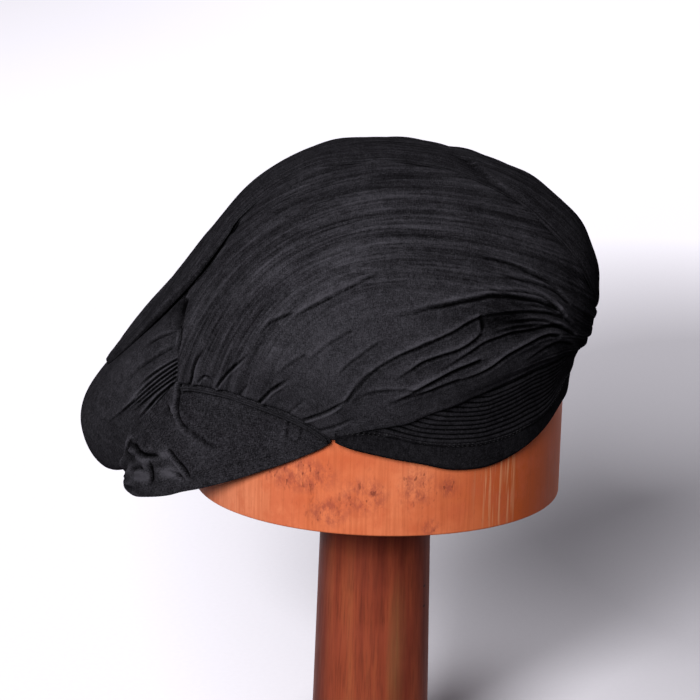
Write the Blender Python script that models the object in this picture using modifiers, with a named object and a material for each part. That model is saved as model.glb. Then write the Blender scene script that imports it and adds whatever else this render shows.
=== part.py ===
"""A blangkon, the draped and pleated black cloth hat of Java, on a plain wooden block stand.

Metres, +Z up. The foot of the stand rests at z = 0 and the post's axis is the Z axis. The forehead faces -Y
and the wearer's right side faces -X. Azimuths run from the forehead, 0, over the wearer's right ear, 90,
to the nape, 180. The wearer's left side repeats the right side across the middle plane.
"""
import functools
import math

import bmesh
import bpy
import numpy as np
from mathutils import Vector

MM = 0.001

# Wooden stand
BLOCK_DIAMETER = 0.1814
BLOCK_HEIGHT = 0.090
BLOCK_UNDERSIDE = 0.170
BLOCK_EDGE = 0.003
BLOCK_CROWN_EDGE = 0.014
POST_TOP_DIAMETER = 0.0545
POST_FOOT_DIAMETER = 0.0600
BASE_DIAMETER = 0.140
BASE_HEIGHT = 0.022
BASE_EDGE = 0.005

# Cloth
CLOTH_WALL = 0.0013
GAP = 0.0003
LAYER = CLOTH_WALL + GAP
LAP_SINK = 0.0007

# Half sections of the hat at the forehead, the ear and the nape, and the one through the middle of the
# pouch. Each has six stations, from the rim up to the crown, with the radius from the post's axis and
# the height over the block's underside in millimetres.
SECTIONS_MM = {
    # rim, waist, belly, shoulder, brow, crown
    "forehead": ((92.4, 28.0), (93.8, 62.0), (105.0, 101.5), (96.6, 130.5), (77.2, 149.3), (45.0, 162.7)),
    "ear": ((92.6, 28.0), (98.3, 58.0), (105.0, 88.0), (94.0, 127.0), (72.0, 149.0), (40.0, 164.5)),
    "nape": ((92.7, 28.0), (98.8, 58.0), (104.0, 84.0), (88.0, 123.0), (64.5, 146.5), (37.5, 164.5)),
    "pouch": ((94.5, 30.0), (136.0, 1.5), (148.0, 25.5), (112.0, 84.5), (81.8, 125.5), (48.5, 158.8)),
}
TOP_HEIGHT_MM = 170.0
SECTION_STEPS = 240
POUCH_HALF_ANGLE = 48.0
POUCH_FULLNESS = 1.3

# Edges of the cloths on the wearer's right side, each row an azimuth in degrees and a rise: the share
# of the way along the section from the rim, 0, to the top of the crown, 1.
CROWN_EDGE = (
    (0.5, 0.298), (4.0, 0.304), (11.0, 0.330), (19.0, 0.385), (26.0, 0.460), (31.5, 0.545), (34.0, 0.620),
    (37.0, 0.660), (41.0, 0.710), (48.0, 0.772), (68.0, 0.820), (93.0, 0.836), (113.0, 0.815), (130.0, 0.787),
    (147.0, 0.735), (157.0, 0.690), (160.5, 0.645), (156.2, 0.582), (153.8, 0.500), (155.2, 0.448), (160.0, 0.424),
    (166.0, 0.410), (173.0, 0.405), (179.0, 0.404),
)
WRAP_LOWER_EDGE = (
    (0.2, 0.245), (12.0, 0.240), (26.0, 0.233), (42.0, 0.216), (56.5, 0.189), (69.0, 0.166), (79.5, 0.138),
    (90.0, 0.116), (99.0, 0.096), (103.5, 0.086), (108.0, 0.114), (115.0, 0.139), (124.0, 0.156), (133.0, 0.165),
    (141.0, 0.170), (149.0, 0.180),
)
WRAP_BACK_EDGE = (
    (149.0, 0.180), (148.6, 0.225), (149.2, 0.280), (150.6, 0.346), (154.6, 0.409), (156.6, 0.457), (156.0, 0.505),
    (158.0, 0.560),
)
CROWN_LAP = 0.050
WRAP_UNDER_CROWN = slice(3, 17)
WRAP_FRONT_EDGE = ((0.2, 0.245), (0.2, 0.290), (0.2, 0.335))
BAND_RIM = (
    (0.2, 0.088), (12.0, 0.086), (24.7, 0.076), (37.5, 0.047), (48.6, 0.024), (59.6, 0.013), (69.4, 0.016),
    (78.5, 0.032), (89.9, 0.049), (99.0, 0.068), (102.6, 0.079),
)
BAND_LAP_RISE = 0.052

# Big folds of a side wrap, fanning out from the knot at the forehead. Each row: where across the wrap
# the ridge runs, 0 at its lower edge and 1 under the crown cloth; its height and half width.
WRAP_FOLDS = (
    # across, height_mm, half_width
    (0.10, 1.6, 0.07),
    (0.24, 2.2, 0.08),
    (0.38, 1.8, 0.07),
    (0.52, 0.9, 0.08),
)

# Where a form sets in or dies away over a cloth, each a start and an end as shares of its length (along)
# or of its width (up)
FOLD_SETS_IN_ALONG = (0.0, 0.12)
FOLD_DIES_ALONG = (0.30, 0.62)
KNOT_SWELL = 0.0030
KNOT_DIES_ALONG = (0.04, 0.22)
KNOT_DIES_UP = (0.20, 0.45)
WRAP_TUCK_UP = (0.72, 0.84)
TAIL_ROLL = 0.0022
TAIL_SETS_IN_ALONG = (0.64, 0.74)
TAIL_DIES_ALONG = (0.90, 1.0)
ROLL_SETS_IN_ACROSS = (0.45, 0.85)
ROLL_DIES_ACROSS = (0.90, 1.0)
BAND_END_ALONG = (0.0, 0.12)
BAND_TUCK_UP = (0.15, 0.60)

# Back pouch: its two ends as an azimuth, its lower and upper edge as rises, and where it runs under the
# other cloths
POUCH_END = 145.0
POUCH_RISES = (0.012, 0.572)
UNDER_WRAP_FROM = 5.0
UNDER_WRAP_TO = 1.0
UNDER_WRAP_RISES = (0.03, 0.12)
UNDER_FLAP_AZIMUTHS = (158.0, 152.0)
UNDER_FLAP_RISES = (0.03, 0.08)
UNDER_FLAP_ENDS = (0.25, 0.32)
UNDER_CROWN_RISES = (0.39, 0.43)

# Nape flap, right half. Each row: azimuth in degrees, then radius and height in millimetres of its
# upper edge and of its hem.
FLAP_ROWS = (
    # azimuth, top_radius, top_height, hem_radius, hem_height
    (104.2, 94.6, 51.0, 92.5, 44.0),
    (107.0, 95.3, 57.0, 92.6, 40.8),
    (113.0, 96.1, 62.0, 92.8, 35.6),
    (119.5, 96.5, 65.0, 93.2, 30.4),
    (126.0, 97.0, 67.0, 93.9, 25.4),
    (132.0, 97.1, 68.0, 95.0, 20.6),
    (140.0, 98.7, 68.0, 98.4, 15.0),
    (146.0, 104.4, 66.0, 103.5, 11.5),
    (149.5, 109.0, 63.0, 107.5, 9.5),
    (153.0, 117.0, 52.0, 113.0, 6.5),
    (158.0, 124.2, 39.0, 118.5, 2.0),
    (163.0, 130.2, 26.5, 123.5, -0.5),
    (167.0, 132.6, 15.0, 126.5, 0.0),
    (171.0, 125.0, 6.0, 128.0, 0.0),
    (175.5, 121.0, 5.0, 129.0, -1.5),
    (180.0, 120.0, 5.0, 129.0, -3.0),
)
FLAP_STEPS = 600

# Piped seam
SEAM_DIAMETER = 0.0030
SEAM_LIFT = -0.0010
SEAM_DROP = 0.014
SEAM_ENDS = (0.03, 0.99)
SEAM_STEPS = 18


def shell_material(name, colour, roughness):
    material = bpy.data.materials.new(name)
    material.use_nodes = True
    shader = material.node_tree.nodes["Principled BSDF"]
    shader.inputs["Base Color"].default_value = (*colour, 1.0)
    shader.inputs["Roughness"].default_value = roughness
    shader.inputs["Metallic"].default_value = 0.0
    return material


def smooth_step(x, start, end):
    t = min(max((x - start) / (end - start), 0.0), 1.0)
    return t * t * (3.0 - 2.0 * t)


def curve_through(points, steps):
    """A smooth line of steps + 1 points through the given points, spaced by their distances."""
    points = np.asarray(points, float)
    knots = np.concatenate([[0.0], np.cumsum(np.linalg.norm(np.diff(points, axis=0), axis=1))])
    knots /= knots[-1]
    spans = np.diff(knots)[:, None]
    chords = np.diff(points, axis=0) / spans
    slopes = np.empty_like(points)
    slopes[0] = chords[0]
    slopes[-1] = chords[-1]
    slopes[1:-1] = (chords[:-1] * spans[1:] + chords[1:] * spans[:-1]) / (spans[1:] + spans[:-1])
    where = np.linspace(0.0, 1.0, steps + 1)
    index = np.clip(np.searchsorted(knots, where, side="right") - 1, 0, len(points) - 2)
    span = spans[index]
    t = (where - knots[index])[:, None] / span
    return (
        (2 * t**3 - 3 * t**2 + 1) * points[index] + (t**3 - 2 * t**2 + t) * span * slopes[index]
        + (3 * t**2 - 2 * t**3) * points[index + 1] + (t**3 - t**2) * span * slopes[index + 1]
    )


@functools.lru_cache(maxsize=None)
def section(azimuth):
    """The form's half section at an azimuth: radius and height in metres at equal steps of rise."""
    rows = {name: np.array(row) for name, row in SECTIONS_MM.items()}
    turn = math.radians(azimuth)
    end = rows["forehead"] if math.cos(turn) >= 0 else rows["nape"]
    stations = end + (rows["ear"] - end) * math.sin(turn) ** 2
    away = abs(180.0 - azimuth % 360.0)
    pouch = smooth_step(1.0 - away / POUCH_HALF_ANGLE, 0.0, 1.0) ** POUCH_FULLNESS
    stations = stations + (rows["pouch"] - stations) * pouch
    beyond_top = (-stations[-1][0], stations[-1][1])
    points = np.vstack([stations, (0.0, TOP_HEIGHT_MM), beyond_top])
    lengths = np.linalg.norm(np.diff(points, axis=0), axis=1)
    share = lengths[:-1].sum() / lengths.sum()
    fine = curve_through(points, 4 * SECTION_STEPS)
    rise = np.linspace(0.0, 1.0 / share, len(fine))
    steps = np.linspace(0.0, 1.0, SECTION_STEPS + 1)
    radius = np.interp(steps, rise, fine[:, 0])
    height = np.interp(steps, rise, fine[:, 1])
    radius[-1] = 0.0
    return radius * MM, height * MM


def form_point(azimuth, rise):
    """The form's point at an azimuth and a rise."""
    low = math.floor(azimuth)
    places = []
    for whole in (low, low + 1):
        radii, heights = section(float(whole % 360))
        at = min(max(rise, 0.0), 1.0) * SECTION_STEPS
        k = min(int(at), SECTION_STEPS - 1)
        t = at - k
        places.append((radii[k] * (1 - t) + radii[k + 1] * t, heights[k] * (1 - t) + heights[k + 1] * t))
    share = azimuth - low
    radius = places[0][0] * (1 - share) + places[1][0] * share
    height = places[0][1] * (1 - share) + places[1][1] * share
    turn = math.radians(azimuth)
    return Vector((-radius * math.sin(turn), -radius * math.cos(turn), BLOCK_UNDERSIDE + height))


def on_map(azimuth, rise):
    """Place on the form's flat map, a disk with the crown at its middle and the forehead along +b."""
    turn = math.radians(azimuth)
    return np.array(((1.0 - rise) * math.sin(turn), (1.0 - rise) * math.cos(turn)))


def map_point(place):
    azimuth = math.degrees(math.atan2(place[0], place[1])) % 360.0
    return form_point(azimuth, 1.0 - math.hypot(place[0], place[1]))


def raised(place, lift):
    """The form's point under a place on the map, lifted along the outward normal."""
    step = 0.004
    point = map_point(place)
    along_a = map_point((place[0] + step, place[1])) - map_point((place[0] - step, place[1]))
    along_b = map_point((place[0], place[1] + step)) - map_point((place[0], place[1] - step))
    normal = along_a.cross(along_b).normalized()
    return point + normal * lift


class Edge:
    """A smooth edge on the form's map, drawn through rows of azimuth and rise."""

    STEPS = 400

    def __init__(self, rows):
        self.line = curve_through([on_map(*row) for row in rows], self.STEPS)

    def at(self, t):
        k = min(max(t, 0.0), 1.0) * self.STEPS
        low = min(int(k), self.STEPS - 1)
        return self.line[low] * (1 - (k - low)) + self.line[low + 1] * (k - low)


def cloth(name, columns, rows, place, material, mirrored=False, wall=CLOTH_WALL):
    """A sheet of cloth: a grid whose points are put in place by place(u, v), then given its wall inwards."""
    mesh = bpy.data.meshes.new(name)
    sheet = bmesh.new()
    bmesh.ops.create_grid(sheet, x_segments=columns, y_segments=rows, size=0.5)
    for vertex in sheet.verts:
        point = place(vertex.co.x + 0.5, vertex.co.y + 0.5)
        if mirrored:
            point.x = -point.x
        vertex.co = point
    sheet.normal_update()
    middle = Vector((0.0, 0.0, BLOCK_UNDERSIDE + 0.09))
    outward = sum((face.calc_center_median() - middle).dot(face.normal) * face.calc_area() for face in sheet.faces)
    if outward < 0:
        bmesh.ops.reverse_faces(sheet, faces=sheet.faces[:])
    sheet.to_mesh(mesh)
    sheet.free()
    mesh.shade_smooth()
    piece = bpy.data.objects.new(name, mesh)
    part.objects.link(piece)
    piece.data.materials.append(material)
    solidify = piece.modifiers.new("wall", "SOLIDIFY")
    solidify.thickness = wall
    solidify.offset = -1.0
    solidify.use_quality_normals = True
    return piece


def turned(name, profile, segments, material):
    """A solid of revolution about Z from a profile that runs down its outer side, top to bottom."""
    mesh = bpy.data.meshes.new(name)
    mesh.from_pydata([(radius, 0.0, height) for radius, height in profile], [
        (k, k + 1) for k in range(len(profile) - 1)
    ], [])
    piece = bpy.data.objects.new(name, mesh)
    part.objects.link(piece)
    piece.data.materials.append(material)
    screw = piece.modifiers.new("turn", "SCREW")
    screw.axis = "Z"
    screw.steps = segments
    screw.render_steps = segments
    screw.use_merge_vertices = True
    screw.merge_threshold = 0.00005
    screw.use_smooth_shade = True
    return piece


def rounded(radius, height, inward, upward, edge, steps=3):
    """A rounded corner of a turned profile, from its level face round to its upright side."""
    turns = [math.pi / 2 * k / steps for k in range(steps + 1)]
    return [
        (radius - edge + inward * edge * math.sin(turn), height - upward * edge * (1.0 - math.cos(turn)))
        for turn in turns
    ]


def stand_block(material):
    """The wooden block under the hat: a thick round disk with a rounded upper edge."""
    radius = BLOCK_DIAMETER / 2
    top = BLOCK_UNDERSIDE + BLOCK_HEIGHT
    profile = [(0.0, top)]
    profile += rounded(radius, top, 1, 1, BLOCK_CROWN_EDGE, steps=4)
    profile += rounded(radius, BLOCK_UNDERSIDE, 1, -1, BLOCK_EDGE, steps=2)[::-1]
    profile += [(0.0, BLOCK_UNDERSIDE)]
    return turned("stand_block", profile, 48, material)


def stand_post(material):
    top = BLOCK_UNDERSIDE - GAP
    foot = BASE_HEIGHT + GAP
    profile = [(0.0, top), (POST_TOP_DIAMETER / 2, top), (POST_FOOT_DIAMETER / 2, foot), (0.0, foot)]
    return turned("stand_post", profile, 32, material)


def stand_base(material):
    radius = BASE_DIAMETER / 2
    profile = [(0.0, BASE_HEIGHT)] + rounded(radius, BASE_HEIGHT, 1, 1, BASE_EDGE) + [(radius, 0.0), (0.0, 0.0)]
    return turned("stand_base", profile, 48, material)


def side_wrap(side, material):
    """A side panel: drawn from the knot at the forehead back over the ear, between four edges on the map."""
    lower = Edge(WRAP_LOWER_EDGE)
    back = Edge(WRAP_BACK_EDGE)
    front = Edge(WRAP_FRONT_EDGE)
    crown = Edge(wrap_upper_rows())

    def place(u, v):
        spot = (
            (1 - v) * lower.at(u) + v * crown.at(u) + (1 - u) * front.at(v) + u * back.at(v)
            - (1 - u) * (1 - v) * lower.at(0) - u * (1 - v) * lower.at(1)
            - (1 - u) * v * crown.at(0) - u * v * crown.at(1)
        )
        lift = 0.0
        fold = smooth_step(u, *FOLD_SETS_IN_ALONG) * (1.0 - smooth_step(u, *FOLD_DIES_ALONG))
        for across, height_mm, half_width in WRAP_FOLDS:
            bump = max(0.0, 1.0 - ((v - across) / half_width) ** 2)
            lift += height_mm * MM * bump * fold
        lift += KNOT_SWELL * (1.0 - smooth_step(u, *KNOT_DIES_ALONG)) * (1.0 - smooth_step(v, *KNOT_DIES_UP))
        lift -= LAP_SINK * smooth_step(v, *WRAP_TUCK_UP)
        return raised(spot, lift)

    return cloth(f"side_wrap_{side}", 34, 13, place, material, mirrored=side == "left")


def wrap_upper_rows():
    """The side wrap's upper edge: the crown cloth's edge from brow to groove, moved in under that cloth."""
    rows = [WRAP_FRONT_EDGE[-1]]
    for azimuth, rise in CROWN_EDGE[WRAP_UNDER_CROWN]:
        a, b = on_map(azimuth, rise)
        a -= CROWN_LAP
        rows.append((math.degrees(math.atan2(a, b)), 1.0 - math.hypot(a, b)))
    return rows + [WRAP_BACK_EDGE[-1]]


def crown_top(material):
    """The centre cloth: a front panel, a narrow run over the crown and a tongue down the back."""
    edge = Edge(CROWN_EDGE)

    def place(u, v):
        spot = edge.at(u)
        across = 2.0 * v - 1.0
        rolled = smooth_step(abs(across), *ROLL_SETS_IN_ACROSS) * (1.0 - smooth_step(abs(across), *ROLL_DIES_ACROSS))
        tail = smooth_step(u, *TAIL_SETS_IN_ALONG) * (1.0 - smooth_step(u, *TAIL_DIES_ALONG))
        return raised((spot[0] * across, spot[1]), LAYER + TAIL_ROLL * rolled * tail)

    return cloth("crown_top", 40, 8, place, material)


def pleat_band(side, material):
    """The crescent of pleats over the forehead and temple, tucked in under the side wrap."""
    rim = Edge(BAND_RIM)
    lower = Edge(WRAP_LOWER_EDGE[:10])

    def place(u, v):
        low = rim.at(u)
        high = lower.at(u)
        reach = np.hypot(*high)
        high = high * (reach - BAND_LAP_RISE * smooth_step(1.0 - u, *BAND_END_ALONG)) / reach
        spot = low * (1 - v) + high * v
        return raised(spot, -(LAYER + LAP_SINK) * smooth_step(v, *BAND_TUCK_UP))

    return cloth(f"pleat_band_{side}", 28, 6, place, material, mirrored=side == "left")


def back_pouch(material):
    """The gathered bulge behind the nape, open towards the head and closed under."""
    nape = 180.0
    edge_azimuths, edge_rises = np.array(WRAP_BACK_EDGE).T
    lowest, highest = POUCH_RISES

    def place(u, v):
        azimuth = nape + (nape - POUCH_END) * (2.0 * u - 1.0)
        rise = lowest + v * (highest - lowest)
        away = abs(azimuth - nape)
        wrap_ends = nape - np.interp(rise, edge_rises, edge_azimuths)
        under_wrap = smooth_step(away, wrap_ends - UNDER_WRAP_FROM, wrap_ends - UNDER_WRAP_TO)
        under_wrap *= smooth_step(rise, *UNDER_WRAP_RISES)
        under_flap = smooth_step(nape - away, *UNDER_FLAP_AZIMUTHS)
        under_flap *= smooth_step(rise, *UNDER_FLAP_RISES) * (1.0 - smooth_step(rise, *UNDER_FLAP_ENDS))
        under_crown = smooth_step(rise, *UNDER_CROWN_RISES) * (1.0 - under_wrap)
        lift = -(LAYER + LAP_SINK) * (under_wrap + under_flap) - LAP_SINK * under_crown
        return raised(on_map(azimuth, rise), lift)

    return cloth("back_pouch", 28, 14, place, material)


def nape_flap(material):
    """The loose band of cloth round the nape, from notch to notch."""
    right = np.array(FLAP_ROWS)
    left = right[-2::-1].copy()
    left[:, 0] = 360.0 - left[:, 0]
    line = curve_through(np.vstack([right, left]), FLAP_STEPS)

    def place(u, v):
        azimuth, top_radius, top_height, hem_radius, hem_height = line[round(u * FLAP_STEPS)]
        radius = (hem_radius * (1 - v) + top_radius * v) * MM
        height = (hem_height * (1 - v) + top_height * v) * MM
        turn = math.radians(azimuth)
        return Vector((-radius * math.sin(turn), -radius * math.cos(turn), BLOCK_UNDERSIDE + height))

    return cloth("nape_flap", 50, 5, place, material)


def seam_roll(side, material):
    """The piped seam along the side wrap's lower back edge, from the notch to the pouch."""
    curve = bpy.data.curves.new(f"seam_roll_{side}", "CURVE")
    curve.dimensions = "3D"
    curve.bevel_depth = SEAM_DIAMETER / 2
    curve.bevel_resolution = 1
    curve.use_fill_caps = True
    line = Edge(WRAP_LOWER_EDGE[9:])
    spline = curve.splines.new("POLY")
    spline.points.add(SEAM_STEPS)
    for k in range(SEAM_STEPS + 1):
        spot = line.at(SEAM_ENDS[0] + (SEAM_ENDS[1] - SEAM_ENDS[0]) * k / SEAM_STEPS)
        point = raised(spot * (1.0 + SEAM_DROP), SEAM_DIAMETER / 2 + SEAM_LIFT)
        if side == "left":
            point.x = -point.x
        spline.points[k].co = (*point, 1.0)
    piece = bpy.data.objects.new(f"seam_roll_{side}", curve)
    part.objects.link(piece)
    curve.materials.append(material)
    return piece


for old in list(bpy.data.objects):
    bpy.data.objects.remove(old)

part = bpy.data.collections.new("blangkon_on_stand")
bpy.context.scene.collection.children.link(part)

black_cloth = shell_material("black_cloth", (0.022, 0.021, 0.025), 0.92)
black_seam = shell_material("black_seam", (0.018, 0.017, 0.020), 0.85)
block_wood = shell_material("block_wood", (0.56, 0.22, 0.08), 0.55)
post_wood = shell_material("post_wood", (0.17, 0.055, 0.025), 0.50)

stand_base(post_wood)
stand_post(post_wood)
stand_block(block_wood)
crown_top(black_cloth)
back_pouch(black_cloth)
nape_flap(black_cloth)
for side in ("right", "left"):
    side_wrap(side, black_cloth)
    pleat_band(side, black_cloth)
    seam_roll(side, black_seam)
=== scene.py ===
# %% [markdown]
# A blangkon is the black cotton hat of Java. A long cloth is wetted, folded into narrow pleats and
# wound over a round former: a centre cloth runs from the forehead over the crown and down the back,
# a side cloth is drawn from a knot at the forehead back over each ear, a crescent of pleats covers
# each temple, and a bulge behind the nape once held the wearer's coiled hair. Here the hat sits on
# a turned wooden block with a post. Metres, +Z up, forehead towards -Y, right ear towards -X.

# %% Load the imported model
import math
import bpy
import numpy as np
from mathutils import Matrix, Vector


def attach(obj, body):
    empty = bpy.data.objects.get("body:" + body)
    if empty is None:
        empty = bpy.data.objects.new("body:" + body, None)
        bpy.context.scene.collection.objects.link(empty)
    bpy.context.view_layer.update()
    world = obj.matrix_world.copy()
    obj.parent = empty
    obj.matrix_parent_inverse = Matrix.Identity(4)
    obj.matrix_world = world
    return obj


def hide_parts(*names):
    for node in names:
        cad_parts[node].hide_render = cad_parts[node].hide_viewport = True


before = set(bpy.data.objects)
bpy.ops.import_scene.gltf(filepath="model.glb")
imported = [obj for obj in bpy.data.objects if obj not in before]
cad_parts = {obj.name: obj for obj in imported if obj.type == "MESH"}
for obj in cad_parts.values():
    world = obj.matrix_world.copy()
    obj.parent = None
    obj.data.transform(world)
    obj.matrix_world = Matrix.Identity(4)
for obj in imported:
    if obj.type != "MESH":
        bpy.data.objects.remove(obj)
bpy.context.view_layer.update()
bpy.ops.object.select_all(action="DESELECT")
MM = 0.001

# %% [markdown]
# The camera comes first, because many creases are placed where the photograph shows them. It is a
# long lens looking at the wearer's right side from 13 degrees above. The same numbers make a small
# projector, which says on which pixel of the 700 by 700 frame a point of the cloth lands.

# %% Camera and projector
FRAME_PIXELS = 700
SENSOR = 36.0
LENS = 114.5
CAMERA_DISTANCE = 1.1
CAMERA_TARGET = Vector((0.0, 0.015, 0.2368))
CAMERA_ELEVATION = math.radians(13.2)
CAMERA_ROLL = math.radians(1.5)

view_line = Vector((math.cos(CAMERA_ELEVATION), 0.0, -math.sin(CAMERA_ELEVATION)))
bpy.ops.object.camera_add(location=CAMERA_TARGET - CAMERA_DISTANCE * view_line)
camera = bpy.context.object
camera.name = "photo_camera"
camera.data.lens = LENS
camera.data.sensor_width = SENSOR
turn = view_line.to_track_quat("-Z", "Y").to_matrix() @ Matrix.Rotation(CAMERA_ROLL, 3, "Z")
camera.rotation_euler = turn.to_euler()
camera.select_set(False)
bpy.context.scene.camera = camera
CAMERA_AXES = np.array(turn)
CAMERA_PLACE = np.array(camera.location)


def photo_pixels(points):
    """The pixel of the photograph's frame on which each point lands; the left half uses its mirror image."""
    right_side = points.copy()
    right_side[:, 0] = -np.abs(right_side[:, 0])
    seen = (right_side - CAMERA_PLACE) @ CAMERA_AXES
    scale = LENS / SENSOR * FRAME_PIXELS / -seen[:, 2]
    return np.stack([FRAME_PIXELS / 2 + seen[:, 0] * scale, FRAME_PIXELS / 2 - seen[:, 1] * scale], 1)


print("camera at", [round(x, 3) for x in camera.location])

# %% [markdown]
# Every cloth of the hat lies on one form, as if it were still on the hatter's last. The form is a
# set of half sections, one for each azimuth, blended from four that are given by six stations each.
# A place on the form is an azimuth and a rise, the share of the way from the rim to the crown's
# middle. Unrolled, those make a flat round map, and each cloth is drawn on that map.

# %% The form: sections and smooth curves
BLOCK_UNDERSIDE = 0.170
SECTIONS_MM = {
    # rim, waist, belly, shoulder, brow, crown: radius and height over the block's underside
    "forehead": ((92.4, 28.0), (93.8, 62.0), (105.0, 101.5), (96.6, 130.5), (77.2, 149.3), (45.0, 162.7)),
    "ear": ((92.6, 28.0), (98.3, 58.0), (105.0, 88.0), (94.0, 127.0), (72.0, 149.0), (40.0, 164.5)),
    "nape": ((92.7, 28.0), (98.8, 58.0), (104.0, 84.0), (88.0, 123.0), (64.5, 146.5), (37.5, 164.5)),
    "pouch": ((94.5, 30.0), (136.0, 1.5), (148.0, 25.5), (112.0, 84.5), (81.8, 125.5), (48.5, 158.8)),
}
TOP_HEIGHT_MM = 170.0
NAPE = 180.0
POUCH_HALF_ANGLE = 48.0
POUCH_FULLNESS = 1.3
SECTION_STEPS = 480
AZIMUTH_STEP = 0.5


def smooth_step(x, start, end):
    """0 up to the start, 1 from the end on, and a smooth rise between them."""
    t = np.clip((np.asarray(x, float) - start) / (end - start), 0.0, 1.0)
    return t * t * (3.0 - 2.0 * t)


def fade(x, start, end):
    """1 up to the start, 0 from the end on, and a smooth fall between them."""
    return 1.0 - smooth_step(x, start, end)


def hump(x, middle, half_width):
    """A bell: 1 at its middle, a little over a third at its half width, and then soon nothing."""
    return np.exp(-((np.asarray(x, float) - middle) / half_width) ** 2)


def curve_through(points, steps):
    """A smooth line of steps + 1 points through the given points, spaced by their distances."""
    points = np.asarray(points, float)
    knots = np.concatenate([[0.0], np.cumsum(np.linalg.norm(np.diff(points, axis=0), axis=1))])
    knots /= knots[-1]
    spans = np.diff(knots)[:, None]
    chords = np.diff(points, axis=0) / spans
    slopes = np.empty_like(points)
    slopes[0] = chords[0]
    slopes[-1] = chords[-1]
    slopes[1:-1] = (chords[:-1] * spans[1:] + chords[1:] * spans[:-1]) / (spans[1:] + spans[:-1])
    where = np.linspace(0.0, 1.0, steps + 1)
    index = np.clip(np.searchsorted(knots, where, side="right") - 1, 0, len(points) - 2)
    span = spans[index]
    t = (where - knots[index])[:, None] / span
    return (
        (2 * t**3 - 3 * t**2 + 1) * points[index] + (t**3 - 2 * t**2 + t) * span * slopes[index]
        + (3 * t**2 - 2 * t**3) * points[index + 1] + (t**3 - t**2) * span * slopes[index + 1]
    )


def half_section(azimuth):
    """Radius and height of the form at one azimuth, at equal steps of rise, and its length up to the top."""
    rows = {name: np.array(row) for name, row in SECTIONS_MM.items()}
    turn = math.radians(azimuth)
    end = rows["forehead"] if math.cos(turn) >= 0 else rows["nape"]
    stations = end + (rows["ear"] - end) * math.sin(turn) ** 2
    pouch = smooth_step(1.0 - abs(NAPE - azimuth % 360.0) / POUCH_HALF_ANGLE, 0.0, 1.0) ** POUCH_FULLNESS
    stations = stations + (rows["pouch"] - stations) * pouch
    beyond_top = (-stations[-1][0], stations[-1][1])
    points = np.vstack([stations, (0.0, TOP_HEIGHT_MM), beyond_top])
    lengths = np.linalg.norm(np.diff(points, axis=0), axis=1)
    fine = curve_through(points, 2 * SECTION_STEPS)
    rise = np.linspace(0.0, lengths.sum() / lengths[:-1].sum(), len(fine))
    steps = np.linspace(0.0, 1.0, SECTION_STEPS + 1)
    radius = np.interp(steps, rise, fine[:, 0])
    radius[-1] = 0.0
    return np.stack([radius, np.interp(steps, rise, fine[:, 1])]) * MM, lengths[:-1].sum() * MM


sections = [half_section(k * AZIMUTH_STEP) for k in range(round(360 / AZIMUTH_STEP) + 1)]
FORM = np.array([section for section, length in sections])
LENGTHS = np.array([length for section, length in sections])
print("form sections", FORM.shape, "ear section length in mm", round(LENGTHS[180] / MM, 1))

# %% The form: places on the flat map and their points in space
MAP_UNIT_MM = 205.0
NORMAL_STEP = 0.004


def on_map(azimuth, rise):
    """Places on the flat map, whose centre is the crown's middle and whose circle is the rim."""
    turn = np.radians(azimuth)
    return np.stack([(1.0 - rise) * np.sin(turn), (1.0 - rise) * np.cos(turn)], -1)


def off_map(spots):
    """Azimuth and rise of places on the flat map."""
    azimuth = np.degrees(np.arctan2(spots[:, 0], spots[:, 1])) % 360.0
    return azimuth, 1.0 - np.hypot(spots[:, 0], spots[:, 1])


def form_points(spots):
    """The points of the form, in space, that belong to places on the flat map."""
    azimuth, rise = off_map(spots)
    across = azimuth / AZIMUTH_STEP
    column = np.minimum(across.astype(int), len(FORM) - 2)
    up = np.clip(rise, 0.0, 1.0) * SECTION_STEPS
    row = np.minimum(up.astype(int), SECTION_STEPS - 1)
    s = (across - column)[:, None]
    t = (up - row)[:, None]
    low = FORM[column, :, row] * (1 - s) + FORM[column + 1, :, row] * s
    high = FORM[column, :, row + 1] * (1 - s) + FORM[column + 1, :, row + 1] * s
    radius, height = (low * (1 - t) + high * t).T
    turn = np.radians(azimuth)
    return np.stack([-radius * np.sin(turn), -radius * np.cos(turn), BLOCK_UNDERSIDE + height], 1)


def lifted(spots, *lifts):
    """Points over the form, lifted along its outward normal: one set of points for each lift."""
    along_a = form_points(spots + [NORMAL_STEP, 0.0]) - form_points(spots - [NORMAL_STEP, 0.0])
    along_b = form_points(spots + [0.0, NORMAL_STEP]) - form_points(spots - [0.0, NORMAL_STEP])
    normal = np.cross(along_a, along_b)
    normal /= np.linalg.norm(normal, axis=1)[:, None]
    ground = form_points(spots)
    made = [ground + normal * np.broadcast_to(lift, len(spots))[:, None] for lift in lifts]
    return made if len(made) > 1 else made[0]


def edge_line(rows, steps=600):
    """A smooth edge on the map, through rows of azimuth and rise."""
    azimuth, rise = np.array(rows).T
    return curve_through(on_map(azimuth, rise), steps)


def along(line, t):
    """The points of a line at shares t of its way."""
    where = np.clip(t, 0.0, 1.0) * (len(line) - 1)
    return np.stack([np.interp(where, np.arange(len(line)), line[:, k]) for k in range(line.shape[1])], -1)


print("top of the form in mm", [round(x / MM, 1) for x in form_points(np.zeros((1, 2)))[0]])

# %% [markdown]
# The edges of the cloths follow the tables of the CAD source, azimuth in degrees and rise, with a
# few rows moved by two or three millimetres to where the photograph shows them.

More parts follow.
